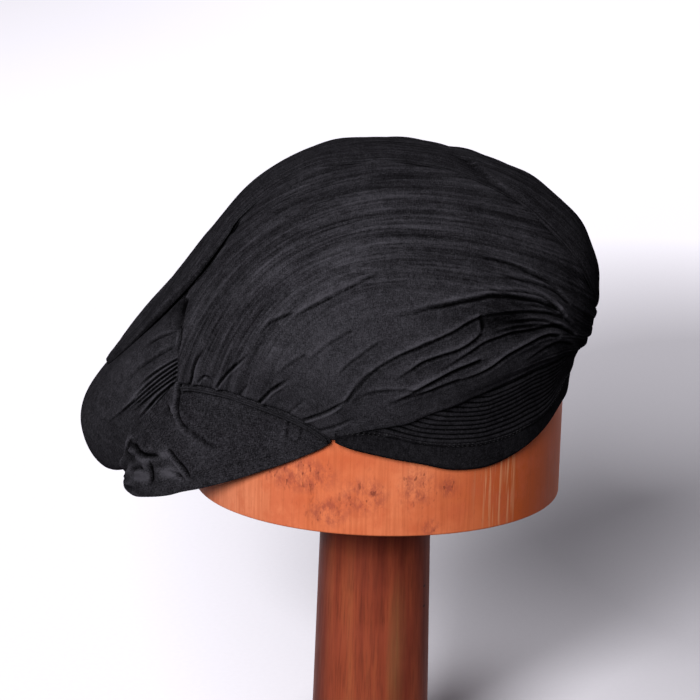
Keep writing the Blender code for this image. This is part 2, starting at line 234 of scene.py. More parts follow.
# %% The edges of the cloths
FRONT_MEETING = 0.03
CROWN_EDGE = (
    (0.5, 0.298), (4.0, 0.304), (11.0, 0.330), (19.0, 0.385), (26.0, 0.460), (31.5, 0.545),
    (34.0, 0.620), (37.0, 0.660), (41.0, 0.710), (48.0, 0.772), (68.0, 0.820), (93.0, 0.836),
    (113.0, 0.815), (130.0, 0.787), (147.0, 0.735), (157.0, 0.690), (160.5, 0.645), (156.2, 0.582),
    (153.8, 0.500), (155.2, 0.448), (160.0, 0.420), (166.0, 0.402), (173.0, 0.390), (179.0, 0.387),
)
SIDE_HEM = (
    (FRONT_MEETING, 0.245), (12.0, 0.241), (26.0, 0.240), (36.0, 0.244), (44.0, 0.240), (50.0, 0.228),
    (56.0, 0.213), (62.0, 0.198), (69.0, 0.178), (76.5, 0.157), (83.0, 0.135), (88.0, 0.126),
    (92.0, 0.120), (99.0, 0.100), (103.5, 0.086),
)
SEAM = (
    (103.5, 0.086), (108.0, 0.114), (115.0, 0.139), (124.0, 0.156), (133.0, 0.165), (141.0, 0.170),
    (149.0, 0.180),
)
WRAP_LOWER_EDGE = SIDE_HEM + SEAM[1:]
WRAP_BACK_EDGE = (
    (149.0, 0.180), (148.6, 0.225), (149.2, 0.280), (150.6, 0.346), (154.6, 0.409), (156.6, 0.457),
    (156.0, 0.505), (158.0, 0.560),
)
WRAP_FRONT_EDGE = tuple((FRONT_MEETING, rise) for rise in (0.245, 0.290, 0.335))
CROWN_LAP = 0.050
WRAP_UNDER_CROWN = slice(3, 17)
BAND_RIM = (
    (FRONT_MEETING, 0.116), (12.0, 0.114), (24.5, 0.096), (31.0, 0.076), (36.5, 0.060), (43.0, 0.043),
    (50.0, 0.026), (59.6, 0.014), (69.4, 0.018), (78.5, 0.036), (90.0, 0.055), (99.0, 0.071),
    (102.6, 0.080),
)
BAND_HEM = (
    (FRONT_MEETING, 0.186), (12.0, 0.181), (23.5, 0.165), (27.0, 0.142), (31.2, 0.121), (37.2, 0.105),
    (44.2, 0.096), (50.2, 0.087), (56.8, 0.082), (61.5, 0.080), (69.8, 0.083), (80.8, 0.096),
    (86.2, 0.108), (92.0, 0.114), (99.0, 0.110), (102.6, 0.105),
)
FLAP_ROWS = (
    # azimuth, then in mm top_radius, top_height, hem_radius, hem_height over the block's underside
    (104.2, 94.6, 51.0, 92.5, 44.0),
    (107.0, 95.3, 57.0, 92.6, 40.8),
    (113.0, 96.1, 62.0, 92.8, 35.6),
    (119.5, 96.5, 65.0, 93.2, 30.3),
    (126.0, 97.0, 67.0, 93.9, 25.4),
    (132.0, 97.1, 68.0, 95.0, 20.8),
    (140.0, 98.7, 68.0, 98.4, 15.0),
    (146.0, 104.4, 66.0, 103.5, 10.6),
    (149.5, 109.0, 63.0, 107.5, 8.2),
    (153.0, 117.0, 52.0, 113.0, 5.0),
    (158.0, 124.2, 39.0, 118.5, 2.0),
    (163.0, 127.6, 26.5, 122.0, -0.5),
    (167.0, 128.0, 15.6, 124.0, -1.0),
    (171.0, 124.0, 9.5, 125.0, -1.5),
    (175.5, 121.0, 7.3, 125.5, -2.2),
    (180.0, 120.0, 6.2, 126.0, -3.0),
)
crown_line = edge_line(CROWN_EDGE)


def wrap_upper_rows():
    """The side cloth's upper edge: the centre cloth's edge, moved in under that cloth."""
    rows = [WRAP_FRONT_EDGE[-1]]
    for azimuth, rise in CROWN_EDGE[WRAP_UNDER_CROWN]:
        a, b = on_map(azimuth, rise)
        a -= CROWN_LAP
        rows.append((math.degrees(math.atan2(a, b)), 1.0 - math.hypot(a, b)))
    return rows + [WRAP_BACK_EDGE[-1]]


def under_centre(spots):
    """How far each place lies in under the centre cloth, in mm; below zero it lies beside it."""
    edge = np.interp(-spots[:, 1], -crown_line[:, 1], crown_line[:, 0], left=-1.0, right=-1.0)
    return (edge - np.abs(spots[:, 0])) * MAP_UNIT_MM


print("centre cloth's widest half in mm", round(crown_line[:, 0].max() * MAP_UNIT_MM, 1))

# %% [markdown]
# A sheet of cloth is a fine grid whose points are moved into place, which is how soft goods with
# hundreds of small folds are made quickly and the same way each run. Its back is a coarser grid,
# because nobody sees its folds, and a rim of small triangles closes the two into one solid sheet.
# Each point also keeps a number called crease, below zero in a valley and above zero on a ridge,
# which the cloth's finish uses: it paints shade into the valleys and lightens the ridges, partly as
# wear and dust and partly as painted highlight. Two flat maps go with it: one along the threads,
# and one along the long arcs in which the cloth is drawn.

# %% Helper: a sheet from a fine face and a coarse back
CREASE = "crease"
BACK_STEP = 6
CROWD_STEPS = 4001
ARC_MIDDLE = (400.0, 430.0)
ARC_METRES_PER_PIXEL = 0.0005
ARC_METRES_PER_RADIAN = 0.1
ARC_FLATTER = 0.66
ARC_CLEAR = 0.1
HAT_MIDDLE = (0.0, 0.0, BLOCK_UNDERSIDE + 0.09)


def crowded(t, places):
    """Brings even steps of 0..1 closer together at some places: rows of middle, half width, gain."""
    even = np.linspace(0.0, 1.0, CROWD_STEPS)
    density = np.ones_like(even)
    for middle, half_width, gain in places:
        density += gain * hump(even, middle, half_width)
    reached = np.concatenate([[0.0], np.cumsum((density[1:] + density[:-1]) / 2)])
    return np.interp(t, reached / reached[-1], even)


def grid_faces(number):
    """The four-sided faces between the points of a grid, from the points' numbers."""
    corners = (number[:-1, :-1], number[1:, :-1], number[1:, 1:], number[:-1, 1:])
    return np.stack(corners, -1).reshape(-1, 4)


def around(number):
    """The numbers along a grid's border, in the order in which its faces pass them."""
    sides = (number[:-1, 0], number[-1, :-1], number[:0:-1, -1], number[0, :0:-1])
    return np.concatenate(sides).tolist()


def arc_map(points):
    """The way round and the distance out, in metres, of the arcs in which cloth is drawn over the ear."""
    reach = (photo_pixels(points) - ARC_MIDDLE) * ARC_METRES_PER_PIXEL
    reach[:, 0] *= np.where(reach[:, 0] > 0, ARC_FLATTER, 1.0)
    turn = np.arctan2(reach[:, 1], reach[:, 0])
    return np.stack([turn * ARC_METRES_PER_RADIAN, np.hypot(reach[:, 0], reach[:, 1])], 1)


def rim_faces(fine, coarse, starts):
    """Triangles between a fine border and a coarse one, whose points stand at starts on the fine one."""
    faces = []
    for k, here in enumerate(coarse):
        there = coarse[(k + 1) % len(coarse)]
        end = starts[k + 1] if k + 1 < len(starts) else len(fine)
        middle = (starts[k] + end) // 2
        faces += [(fine[(i + 1) % len(fine)], fine[i], here) for i in range(starts[k], middle)]
        faces.append((fine[middle % len(fine)], here, there))
        faces += [(fine[(i + 1) % len(fine)], fine[i], there) for i in range(middle, end)]
    return faces


def sheet_faces(number, kept, back, points):
    """The faces of the fine front, the coarse back and the rim between them, all turned outwards."""
    fine = around(number)
    place_in_rim = {point: k for k, point in enumerate(fine)}
    starts = [place_in_rim[point] for point in around(kept)]
    outer = grid_faces(number)
    corners = points[outer]
    normals = np.cross(corners[:, 2] - corners[:, 0], corners[:, 3] - corners[:, 1])
    faces = outer.tolist() + grid_faces(back)[:, ::-1].tolist() + rim_faces(fine, around(back), starts)
    inside_out = np.einsum("ij,ij->", normals, corners[:, 0] - np.array(HAT_MIDDLE)) < 0
    return [face[::-1] for face in faces] if inside_out else faces


def cloth_sheet(name, columns, rows, place, size, mirrored=False, crowds=((), ()), lengthwise=False):
    """place(u, v) gives face points, back points and creases; size is the length along u and v."""
    steps = [crowded(np.linspace(0, 1, count + 1), crowd) for count, crowd in zip((columns, rows), crowds)]
    u, v = (step.ravel() for step in np.meshgrid(*steps, indexing="ij"))
    face_points, back_points, crease = place(u, v)
    number = np.arange(len(u)).reshape(columns + 1, rows + 1)
    spread = [np.linspace(0, count, count // BACK_STEP + 1).round().astype(int) for count in (columns, rows)]
    kept = number[np.ix_(*spread)]
    back = len(u) + np.arange(kept.size).reshape(kept.shape)
    points = np.vstack([face_points, back_points[kept.ravel()]])
    source = np.concatenate([number.ravel(), kept.ravel()])
    threads = np.stack([u * size[0], v * size[1]], 1)[source]
    arcs = threads + [0.0, ARC_CLEAR] if lengthwise else arc_map(points)
    if mirrored:
        points = points * [-1, 1, 1]
    faces = sheet_faces(number, kept, back, points)
    mesh = bpy.data.meshes.new(name)
    mesh.from_pydata(points.tolist(), [], faces)
    mesh.attributes.new(CREASE, "FLOAT", "POINT").data.foreach_set("value", crease[source].astype(np.float32))
    loops = np.empty(len(mesh.loops), dtype=np.int32)
    mesh.loops.foreach_get("vertex_index", loops)
    for map_name, flat in (("cloth", threads), ("arcs", arcs)):
        mesh.uv_layers.new(name=map_name).data.foreach_set("uv", flat[loops].astype(np.float32).ravel())
    mesh.shade_smooth()
    piece = bpy.data.objects.new(name, mesh)
    bpy.context.scene.collection.objects.link(piece)
    print(name, "has", sum(len(face) - 2 for face in faces), "triangles")
    return piece


# %% [markdown]
# Cloth never lies quite smooth. Three kinds of relief go over the form: slow ripples from a few
# seeded waves, pleats that share one direction, and single creases drawn where the photograph
# shows them. A crease is a narrow valley with the next fold of cloth rolling over it.

# %% Helpers: ripples, pleats and creases
dice = np.random.default_rng(7)
FOLD_REACH = 10.0
RIPPLE_WAVES = 9


def ripples(a, b, wave):
    """Slow waves in seeded directions over a and b, from about -1 to 1."""
    total = np.zeros_like(a)
    turns = dice.uniform(0, math.tau, RIPPLE_WAVES)
    phases = dice.uniform(0, math.tau, RIPPLE_WAVES)
    stretches = dice.uniform(0.7, 1.4, RIPPLE_WAVES)
    for turn, phase, stretch in zip(turns, phases, stretches):
        total += np.sin(math.tau / (wave * stretch) * (a * math.cos(turn) + b * math.sin(turn)) + phase)
    return total / math.sqrt(RIPPLE_WAVES)


def pleats(phase, reach, count, steep=0.28):
    """Pleats side by side: each rises slowly, drops steeply and fades where reach passes its length."""
    phase = np.clip(phase, 0, count - 0.001)
    number = np.floor(phase).astype(int)
    part = phase - np.floor(phase)
    gentle = 1 - steep
    shape = np.where(part < gentle, smooth_step(part, 0.0, gentle), fade(part, gentle, 1.0))
    height = dice.uniform(0.35, 1.0, count)[number]
    ends = dice.uniform(0.35, 1.0, count)[number]
    return shape * height * fade(reach, ends - 0.30, ends + 0.05)


def near_line(pixels, points, reach):
    """Signed distance of each pixel to a drawn line, and the share of the line passed there.

    Below a line that runs right the distance is above zero."""
    line = curve_through(points, 12 * (len(points) - 1)) if len(points) > 2 else np.array(points, float)
    low = line.min(0) - reach
    high = line.max(0) + reach
    close = np.nonzero(np.all((pixels > low) & (pixels < high), axis=1))[0]
    best = np.full(len(pixels), 1e9)
    where = np.zeros(len(pixels))
    spot = pixels[close]
    nearest = np.full(len(close), 1e9)
    signed = np.full(len(close), 1e9)
    share = np.zeros(len(close))
    for k in range(len(line) - 1):
        run = line[k + 1] - line[k]
        t = np.clip((spot - line[k]) @ run / (run @ run), 0.0, 1.0)
        gap = spot - (line[k] + t[:, None] * run)
        size = np.hypot(gap[:, 0], gap[:, 1])
        side = np.sign(run[0] * gap[:, 1] - run[1] * gap[:, 0])
        better = size < nearest
        nearest[better] = size[better]
        signed[better] = (size * side)[better]
        share[better] = ((k + t) / (len(line) - 1))[better]
    best[close] = signed
    where[close] = share
    return best, where


def creases(pixels, rows):
    """Lift and crease value from drawn creases. Each row: depth in mm, half width in pixels, points."""
    lift = np.zeros(len(pixels))
    mark = np.zeros(len(pixels))
    for depth, half_width, *points in rows:
        gap, where = near_line(pixels, points, FOLD_REACH * half_width)
        taper = smooth_step(where, -0.10, 0.06) * fade(where, 0.55, 1.0)
        below = gap > 0
        away = np.abs(gap / half_width)
        valley = hump(away, 0.0, 1.0)
        ridge = np.where(below, 0.60, 0.30) * hump(away, 2.2, 1.2)
        fold = np.where(below, 0.45 * np.exp(-away / 4.0), -0.30 * np.exp(-away / 3.5))
        fold *= fade(away, 0.7 * FOLD_REACH, FOLD_REACH)
        lift += depth * MM * taper * (ridge + np.maximum(fold, 0.0) - valley)
        # Painted shade in the valley and along one side of the fold, painted highlight on the ridge and along
        # the other side.
        mark += min(1.9 * depth, 2.4) * taper * (0.5 * ridge + 0.9 * fold - 1.1 * valley)
    return lift, mark


def patches(pixels, rows):
    """Crease value of soft patches. Each row: strength, then middle and half sizes in pixels."""
    across, down = pixels.T
    return sum(strong * hump(across, x, wide) * hump(down, y, high) for strong, x, y, wide, high in rows)


# %% [markdown]
# The side cloth is drawn back from the knot at the forehead. Near the knot it is gathered hard into
# overlapping ridges, which fan out over the temple and die away behind the ear; over the top the
# ridges become long fine arcs. Short wrinkles stand over the piped seam, where the cloth is eased in.

# %% Side cloths: creases that the photograph shows
KNOT_GATHERS = (
    # depth_mm, half_width_px, then pixels from the strong end to the faint one
    (0.9, 1.3, (563, 315), (551, 303), (540, 296), (523, 292), (506, 291), (490, 290), (473, 290),
     (461, 291)),
    (1.4, 1.9, (556, 309), (543, 303), (532, 300), (520, 298), (506, 296), (490, 296), (476, 299),
     (466, 301), (456, 303), (442, 306), (430, 308), (415, 312), (400, 315), (384, 320)),
    (0.8, 1.2, (562, 318), (551, 314), (537, 312), (520, 312), (506, 313), (490, 315), (480, 317),
     (466, 321)),
    (1.1, 1.3, (481, 317), (467, 324), (456, 331), (435, 341), (418, 349), (400, 356), (386, 363)),
    (0.9, 1.3, (562, 327), (548, 322), (534, 320), (523, 321), (511, 322), (498, 325)),
    (0.9, 1.7, (480, 318), (482, 324), (482, 330), (480, 336)),
    (1.1, 1.4, (481, 335), (473, 342), (460, 350), (442, 356), (421, 364), (411, 371), (400, 378),
     (388, 386)),
    (1.0, 1.3, (573, 334), (562, 328), (552, 326), (540, 328), (526, 331), (512, 333), (498, 338),
     (487, 342), (473, 351), (459, 360), (442, 370), (424, 381)),
    (0.8, 1.3, (560, 326), (544, 325), (526, 326), (508, 329), (494, 334), (484, 341)),
    (1.4, 1.6, (480, 361), (470, 365), (453, 372), (436, 381), (421, 389), (404, 398), (390, 406)),
    (1.2, 1.4, (558, 336), (551, 335), (543, 337), (533, 342), (520, 349), (506, 357), (498, 363),
     (491, 368), (484, 372), (470, 378), (456, 382), (442, 387)),
    (0.5, 1.4, (558, 290), (540, 278), (526, 271), (506, 262), (484, 258), (462, 255)),
    (0.6, 1.4, (568, 303), (556, 292), (540, 285), (522, 280), (500, 277), (478, 278)),
    (0.7, 1.3, (570, 322), (558, 314), (546, 308), (530, 305), (514, 304)),
    (0.6, 1.3, (572, 344), (560, 342), (548, 347), (534, 356), (520, 366)),
)
LONG_WRINKLES = (
    (0.9, 1.3, (331, 297), (318, 304), (304, 311), (289, 320)),
    (0.6, 1.3, (376, 274), (351, 287), (329, 298), (312, 306)),
    (0.8, 1.3, (291, 313), (280, 318), (271, 322), (264, 329), (257, 336)),
    (0.7, 1.3, (430, 341), (412, 350), (394, 359), (376, 370), (358, 388), (344, 406), (322, 427)),
    (0.5, 1.3, (380, 342), (360, 356), (345, 368), (330, 386)),
    (0.5, 1.3, (369, 373), (358, 384), (344, 404), (333, 413)),
    (0.5, 1.3, (416, 391), (394, 391), (372, 393), (350, 402)),
    (0.7, 1.4, (459, 380), (430, 391), (401, 400), (380, 409)),
    (0.4, 1.3, (304, 355), (292, 363), (282, 370), (273, 377)),
    (0.4, 1.4, (352, 330), (332, 342), (312, 358), (300, 372)),
)
SEAM_WRINKLES = (
    (1.6, 1.3, (190, 386), (192, 378), (194, 368), (197, 360), (201, 353), (205, 347)),
    (1.0, 0.9, (199, 382), (201, 379), (205, 376), (209, 378), (213, 381)),
    (1.6, 1.2, (217, 387), (223, 379), (230, 371), (242, 360), (250, 352)),
    (1.7, 1.3, (257, 405), (264, 398), (271, 391), (283, 383), (292, 377)),
    (1.2, 1.2, (304, 420), (313, 417), (322, 414), (338, 406), (354, 396)),
    (0.6, 1.2, (318, 431), (330, 428), (344, 423), (358, 416)),
    (0.4, 1.2, (238, 397), (244, 389), (251, 382)),
    (0.4, 1.2, (287, 415), (298, 405), (308, 398)),
)
BACK_EDGE_SHADE = (
    (1.3, 1.3, (187, 300), (184, 310), (182, 320), (181, 332), (179, 345), (176, 358), (175, 372)),
)
DUST_MARKS = (
    # strength, half_width_px, then pixels along the mark
    (0.45, 3.0, (268, 338), (272, 346), (281, 351), (293, 350)),
    (0.30, 4.0, (262, 232), (275, 225), (292, 220)),
)
WRAP_TONES = (
    # strength, middle and half sizes in pixels: lighter over the ear, painted shade of the deep folds beside
    # the knot
    (0.55, 320.0, 345.0, 100.0, 80.0),
    (-1.6, 505.0, 320.0, 32.0, 16.0),
)
DRAWN_ON_WRAP = KNOT_GATHERS + LONG_WRINKLES + SEAM_WRINKLES + BACK_EDGE_SHADE
print(len(DRAWN_ON_WRAP), "drawn creases on each side cloth")

# %% Side cloths
WRAP_COLUMNS = 400
WRAP_ROWS = 225
WRAP_SIZE = (0.30, 0.13)
WRAP_FOLDS = (
    # across, height_mm, half_width
    (0.10, 1.2, 0.07),
    (0.24, 1.5, 0.08),
    (0.38, 1.2, 0.07),
    (0.52, 0.7, 0.08),
)
KNOT_PLEATS = 34
KNOT_PLEAT_HEIGHT = 0.001
KNOT_SWELL = 0.0006
WRAP_RIPPLE = 0.00035
CLOTH_WALL = 0.0008
FOLD_ROOM = 0.0012
LAP_STEP = 0.0002
LAP_SINK = 0.0010
GROOVE_DEPTH = 0.0018
BACK_EDGE_SINK = 0.0006
HEM_SINK = 0.0004
CORNER_AZIMUTH = 103.5
CORNER_SINK = 0.0011
ARC_PLEATS = 80
ARC_SPACING = 0.0021
ARC_RELIEF = 0.00025


def back_depth(u, v, wall=CLOTH_WALL, room=FOLD_ROOM):
    """How far a cloth's back lies under its face: the wall at its borders, room for folds inside."""
    border = np.minimum(np.minimum(u, 1 - u), np.minimum(v, 1 - v))
    return wall + room * smooth_step(border, 0.0, 0.03)


def wrap_spots(u, v):
    """Places on the map between four edges: u runs back from the knot, v runs up from the hem."""
    edges = (WRAP_LOWER_EDGE, wrap_upper_rows(), WRAP_FRONT_EDGE, WRAP_BACK_EDGE)
    lower, upper, front, back = (edge_line(rows) for rows in edges)
    s = u[:, None]
    t = v[:, None]
    return (
        (1 - t) * along(lower, u) + t * along(upper, u) + (1 - s) * along(front, v) + s * along(back, v)
        - (1 - s) * (1 - t) * front[0] - s * (1 - t) * back[0] - (1 - s) * t * front[-1] - s * t * back[-1]
    )


def wrap_ground(u, v, spots, cover, behind):
    """Height over the form of the cloth's big soft folds, and of its edges, which are all sunk a little."""
    folded = smooth_step(u, 0.0, 0.12) * fade(u, 0.30, 0.62)
    ground = np.zeros_like(u)
    for across, height_mm, half_width in WRAP_FOLDS:
        ground += height_mm * MM * np.maximum(0.0, 1.0 - ((v - across) / half_width) ** 2) * folded
    beside_knot = fade(u, 0.04, 0.22) * fade(v, 0.20, 0.45)
    ground += KNOT_SWELL * beside_knot + WRAP_RIPPLE * ripples(u * 0.30, v * 0.12, 0.030)
    ground -= LAP_STEP * smooth_step(cover, -3.0, 0.0) + LAP_SINK * smooth_step(cover, 0.3, 4.0)
    ground -= GROOVE_DEPTH * behind * hump(cover, -0.8, 3.2)
    ground -= BACK_EDGE_SINK * smooth_step(u, 0.985, 1.0) + HEM_SINK * fade(v, 0.0, 0.012)
    corner = hump(off_map(spots)[0], CORNER_AZIMUTH, 6.0) * fade(v, 0.02, 0.20)
    return ground - CORNER_SINK * corner


def wrap_place(u, v):
    spots = wrap_spots(u, v)
    cover = under_centre(spots)
    behind = smooth_step(-spots[:, 1], 0.27, 0.38)
    ground = wrap_ground(u, v, spots, cover, behind)

    near_knot = fade(u, 0.12, 0.42)
    wander = 0.45 * ripples(u * 0.30, v * 0.10, 0.07)
    gathered = pleats(v * (KNOT_PLEATS - 1) + wander, u * 1.5, KNOT_PLEATS)
    relief = KNOT_PLEAT_HEIGHT * gathered * near_knot * (0.30 + 0.55 * fade(v, 0.45, 0.70))
    pixels = photo_pixels(lifted(spots, ground + relief))
    reach = arc_map(lifted(spots, ground))[:, 1]
    wander = 0.4 * ripples(u * 0.3, v * 0.1, 0.08)
    long_arcs = pleats(reach / ARC_SPACING + wander, 0.3 + 0 * u, ARC_PLEATS) - 0.3
    over_ear = smooth_step(reach, 0.055, 0.085) * (1.0 - near_knot)
    relief += ARC_RELIEF * long_arcs * over_ear
    drawn, mark = creases(pixels, DRAWN_ON_WRAP)
    relief = (relief + drawn) * fade(cover, -1.0, 2.0)

    # Lighter over the ear, and painted shade beside the knot.
    mark += patches(pixels, WRAP_TONES)
    for strong, half_width, *points in DUST_MARKS:
        gap, where = near_line(pixels, points, 4.0 * half_width)
        mark += strong * hump(gap, 0.0, half_width) * hump(where, 0.5, 0.4)
    # Painted shade over the knot and in its gathers' valleys, painted highlight on their crests, and painted
    # shade and highlight along the long arcs over the ear.
    mark += (0.8 * (gathered - 0.35) - 0.5) * near_knot + 0.45 * long_arcs * over_ear
    # Painted shade in the groove under the tongue and along the side cloth's back edge.
    back_edge = smooth_step(u, 0.988, 0.998) * smooth_step(v, 0.30, 0.45)
    mark -= 2.4 * behind * hump(cover, -1.0, 2.6) + 1.4 * back_edge
    face, back = lifted(spots, ground + relief, ground - back_depth(u, v))
    return face, back, mark


for side in ("right", "left"):
    dice = np.random.default_rng(21)
    wrap = cloth_sheet(f"side_cloth_{side}", WRAP_COLUMNS, WRAP_ROWS, wrap_place, WRAP_SIZE, side == "left")
    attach(wrap, "root")
    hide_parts(f"side_wrap_{side}")

# %% [markdown]
# The centre cloth starts as a pointed panel at the knot, narrows over the crown and widens again
# into a tongue that hangs over the bulge at the back. Over the forehead the panel is puffed up and
# falls in a step towards the crown. Its edges lie flat on the side cloths as far as the crown, and
# at the back they are rolled and stand over a deep groove.

# %% Centre cloth
CROWN_COLUMNS = 320
CROWN_ROWS = 160
CROWN_SIZE = (0.36, 0.13)
EDGE_CROWDING = 0.40
CROWN_LIFT = 0.0016
CROWN_EDGE_LIFT = 0.0001
CROWN_RIPPLE = 0.0003
CROWN_PLEATS = 34
CROWN_PLEAT_HEIGHT = 0.00022
TONGUE_ROLL = 0.0022
TONGUE_EDGE_SINK = 0.0022
WAIST_LIFT = 0.0010
PUFF_STEP = 0.0016
PUFF_LINE = ((424, 143), (440, 147), (452, 152), (470, 160), (485, 172), (500, 185), (512, 196), (526, 207))


def crown_ground(u, spots, inward, tongue):
    """Height of the centre cloth's smooth shape: flat edges over the crown, rolled ones on the tongue."""
    flat = CROWN_EDGE_LIFT + (CROWN_LIFT - CROWN_EDGE_LIFT) * smooth_step(inward, 0.0, 9.0)
    flat *= 0.25 + 0.75 * smooth_step(u, 0.04, 0.20)
    rolled = CROWN_LIFT + TONGUE_ROLL * hump(inward, 3.2, 3.2) - TONGUE_EDGE_SINK * fade(inward, 0.0, 1.6)
    ground = (flat * (1.0 - tongue) + rolled * tongue) * (1.0 - 0.3 * smooth_step(u, 0.95, 1.0))
    return ground + WAIST_LIFT * hump(spots[:, 1], -0.29, 0.06) * smooth_step(inward, 0.0, 7.0)


def crown_place(u, v):
    """u runs from the forehead to the tongue's tip, v across; inward is the distance to the edge in mm."""
    edge = along(crown_line, u)
    x = 2.0 * v - 1.0
    across = (1.0 + EDGE_CROWDING) * x - EDGE_CROWDING * x**3
    spots = np.stack([edge[:, 0] * across, edge[:, 1]], 1)
    inward = (1.0 - np.abs(across)) * edge[:, 0] * MAP_UNIT_MM
    tongue = smooth_step(u, 0.74, 0.86) * fade(u, 0.90, 1.0)
    ground = crown_ground(u, spots, inward, tongue)
    ground += CROWN_RIPPLE * ripples(u * 0.42, across * 0.06, 0.035) * smooth_step(inward, 0.0, 5.0)

    gap, where = near_line(photo_pixels(lifted(spots, ground)), PUFF_LINE, 60.0)
    ends = smooth_step(where, 0.16, 0.46) * fade(where, 0.90, 1.0) * (gap < 1e8)
    low_side = smooth_step(gap, -1.2, 1.6)
    away = np.abs(gap)
    puff = 0.45 * (1.0 - low_side) * np.exp(-away / 14.0) - low_side * np.exp(-away / 15.0)
    ground += PUFF_STEP * ends * np.clip(puff, -1, 1) * smooth_step(inward, 0.0, 6.0)

    wander = 0.6 * ripples(u * 0.42, across * 0.06, 0.09)
    gathered = pleats((across * 0.5 + 0.5) * (CROWN_PLEATS - 1) + wander, 0.3 + 0 * u, CROWN_PLEATS)
    relief = CROWN_PLEAT_HEIGHT * gathered * smooth_step(inward, 1.0, 6.0)
    # Painted shade in the pleats' valleys and a painted highlight on their crests, painted shade on the low
    # side of the puff's step, under the tongue's rolled edge and towards the knot; a little darker all over.
    mark = 0.4 * (gathered - 0.35) - 0.15 - 0.9 * ends * low_side * np.exp(-away / 9.0)
    mark -= 0.9 * tongue * hump(inward, 0.0, 0.7) + 0.35 * fade(u, 0.10, 0.30)
    depth = back_depth(u, v, room=0.0006) * (0.42 + 0.58 * smooth_step(inward, 0.0, 4.0))
    face, back = lifted(spots, ground + relief, ground - depth)
    return face, back, mark


dice = np.random.default_rng(33)
crown = cloth_sheet("centre_cloth", CROWN_COLUMNS, CROWN_ROWS, crown_place, CROWN_SIZE, lengthwise=True)
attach(crown, "root")
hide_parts("crown_top")

# %% [markdown]
# The crescent over each temple is a strip folded into fourteen knife pleats, each 2.2 mm wide and
# pressed flat over the next, above a plain turned-up hem. Rows of the grid run along the pleats, so
# that each edge is a crisp line. Towards the forehead the pleats draw together, and their upper
# ends run on under the side cloth, as the real ones do, so that no gap shows between the two.

# %% Pleat bands
BAND_COLUMNS = 240
PLEAT_WIDTH = 0.0022
PLEAT_COUNT = 14
ROWS_PER_PLEAT = 9
HEM_ROWS = 26
BAND_ROWS = HEM_ROWS + PLEAT_COUNT * ROWS_PER_PLEAT
PLEAT_HEIGHT = 0.0006
BAND_TUCK = 0.024
BAND_SIZE = (0.19, 0.036)
BAND_SINK = 0.0006
UNDER_SIDE_SINK = 0.0013
BAND_RIPPLE = 0.00020
HEM_THICKNESS = 0.00035
RIM_SINK = 0.0005


def band_spots(u, row):
    """Places on the map for a share along the band and a row: hem rows first, then a few for each pleat."""
    low_azimuth, low_rise = off_map(along(edge_line(BAND_RIM), u))
    azimuth, hem_rise = off_map(along(edge_line(BAND_HEM), u))
    length = np.interp(azimuth / AZIMUTH_STEP, np.arange(len(LENGTHS)), LENGTHS)
    above = np.maximum(row - HEM_ROWS, 0.0) / ROWS_PER_PLEAT
    part = np.clip(row / HEM_ROWS, 0.0, 1.0)
    edge_azimuths, edge_rises = np.array(SIDE_HEM).T
    room = (np.interp(azimuth, edge_azimuths, edge_rises) + BAND_TUCK - hem_rise) / PLEAT_COUNT
    narrowed = 0.35 + 0.65 * smooth_step(azimuth, 6.0, 52.0)
    rise = low_rise + (hem_rise - low_rise) * part + above * np.maximum(room, PLEAT_WIDTH * narrowed / length)
    return on_map(low_azimuth + (azimuth - low_azimuth) * part, rise), part, above, rise, length


def band_place(u, v):
    spots, part, above, rise, length = band_spots(u, v * BAND_ROWS)
    pleated = above > 0
    step = above - np.floor(above + 1e-6)
    wrap_rise = off_map(along(edge_line(SIDE_HEM), u))[1]
    under = smooth_step((rise - wrap_rise) * length, -0.0035, 0.0005)
    turned_up = smooth_step(part, 0.0, 0.12) * fade(part, 0.88, 0.96)
    ground = -BAND_SINK * smooth_step(above, 0.2, 3.0) - UNDER_SIDE_SINK * under
    ground += BAND_RIPPLE * ripples(u * 0.19, v * 0.036, 0.03)
    ground += HEM_THICKNESS * turned_up - RIM_SINK * fade(part, 0.0, 0.10)
    groove = np.minimum(step, 1.0 - step)
    hem_top = 0.6 * smooth_step(part, 0.88, 0.93) * (part < 1)
    leaf = np.where(pleated, smooth_step(groove, 0.0, 0.34), hem_top)
    # Painted shade in each pleat's groove, along the top of the hem and where the band runs under the side
    # cloth.
    mark = np.where(pleated, 0.30 - 1.9 * fade(groove, 0.02, 0.24), -0.05)
    mark -= 1.2 * hump(part, 0.90, 0.035) * ~pleated + 0.4 * under
    face, back = lifted(spots, ground + PLEAT_HEIGHT * leaf, ground - back_depth(u, v, room=0.0003))
    return face, back, mark


for side in ("right", "left"):
    dice = np.random.default_rng(31)
    name = f"temple_pleats_{side}"
    band = cloth_sheet(name, BAND_COLUMNS, BAND_ROWS, band_place, BAND_SIZE, side == "left")
    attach(band, "root")
    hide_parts(f"pleat_band_{side}")

# %% [markdown]
# The bulge behind the nape, where the hair was coiled, is one gathered piece. Its gathers run out
# from the point where the side cloth, the flap and the bulge are sewn together. It lies under the
# side cloths' back edges, under the tongue and behind the two ends of the flap.

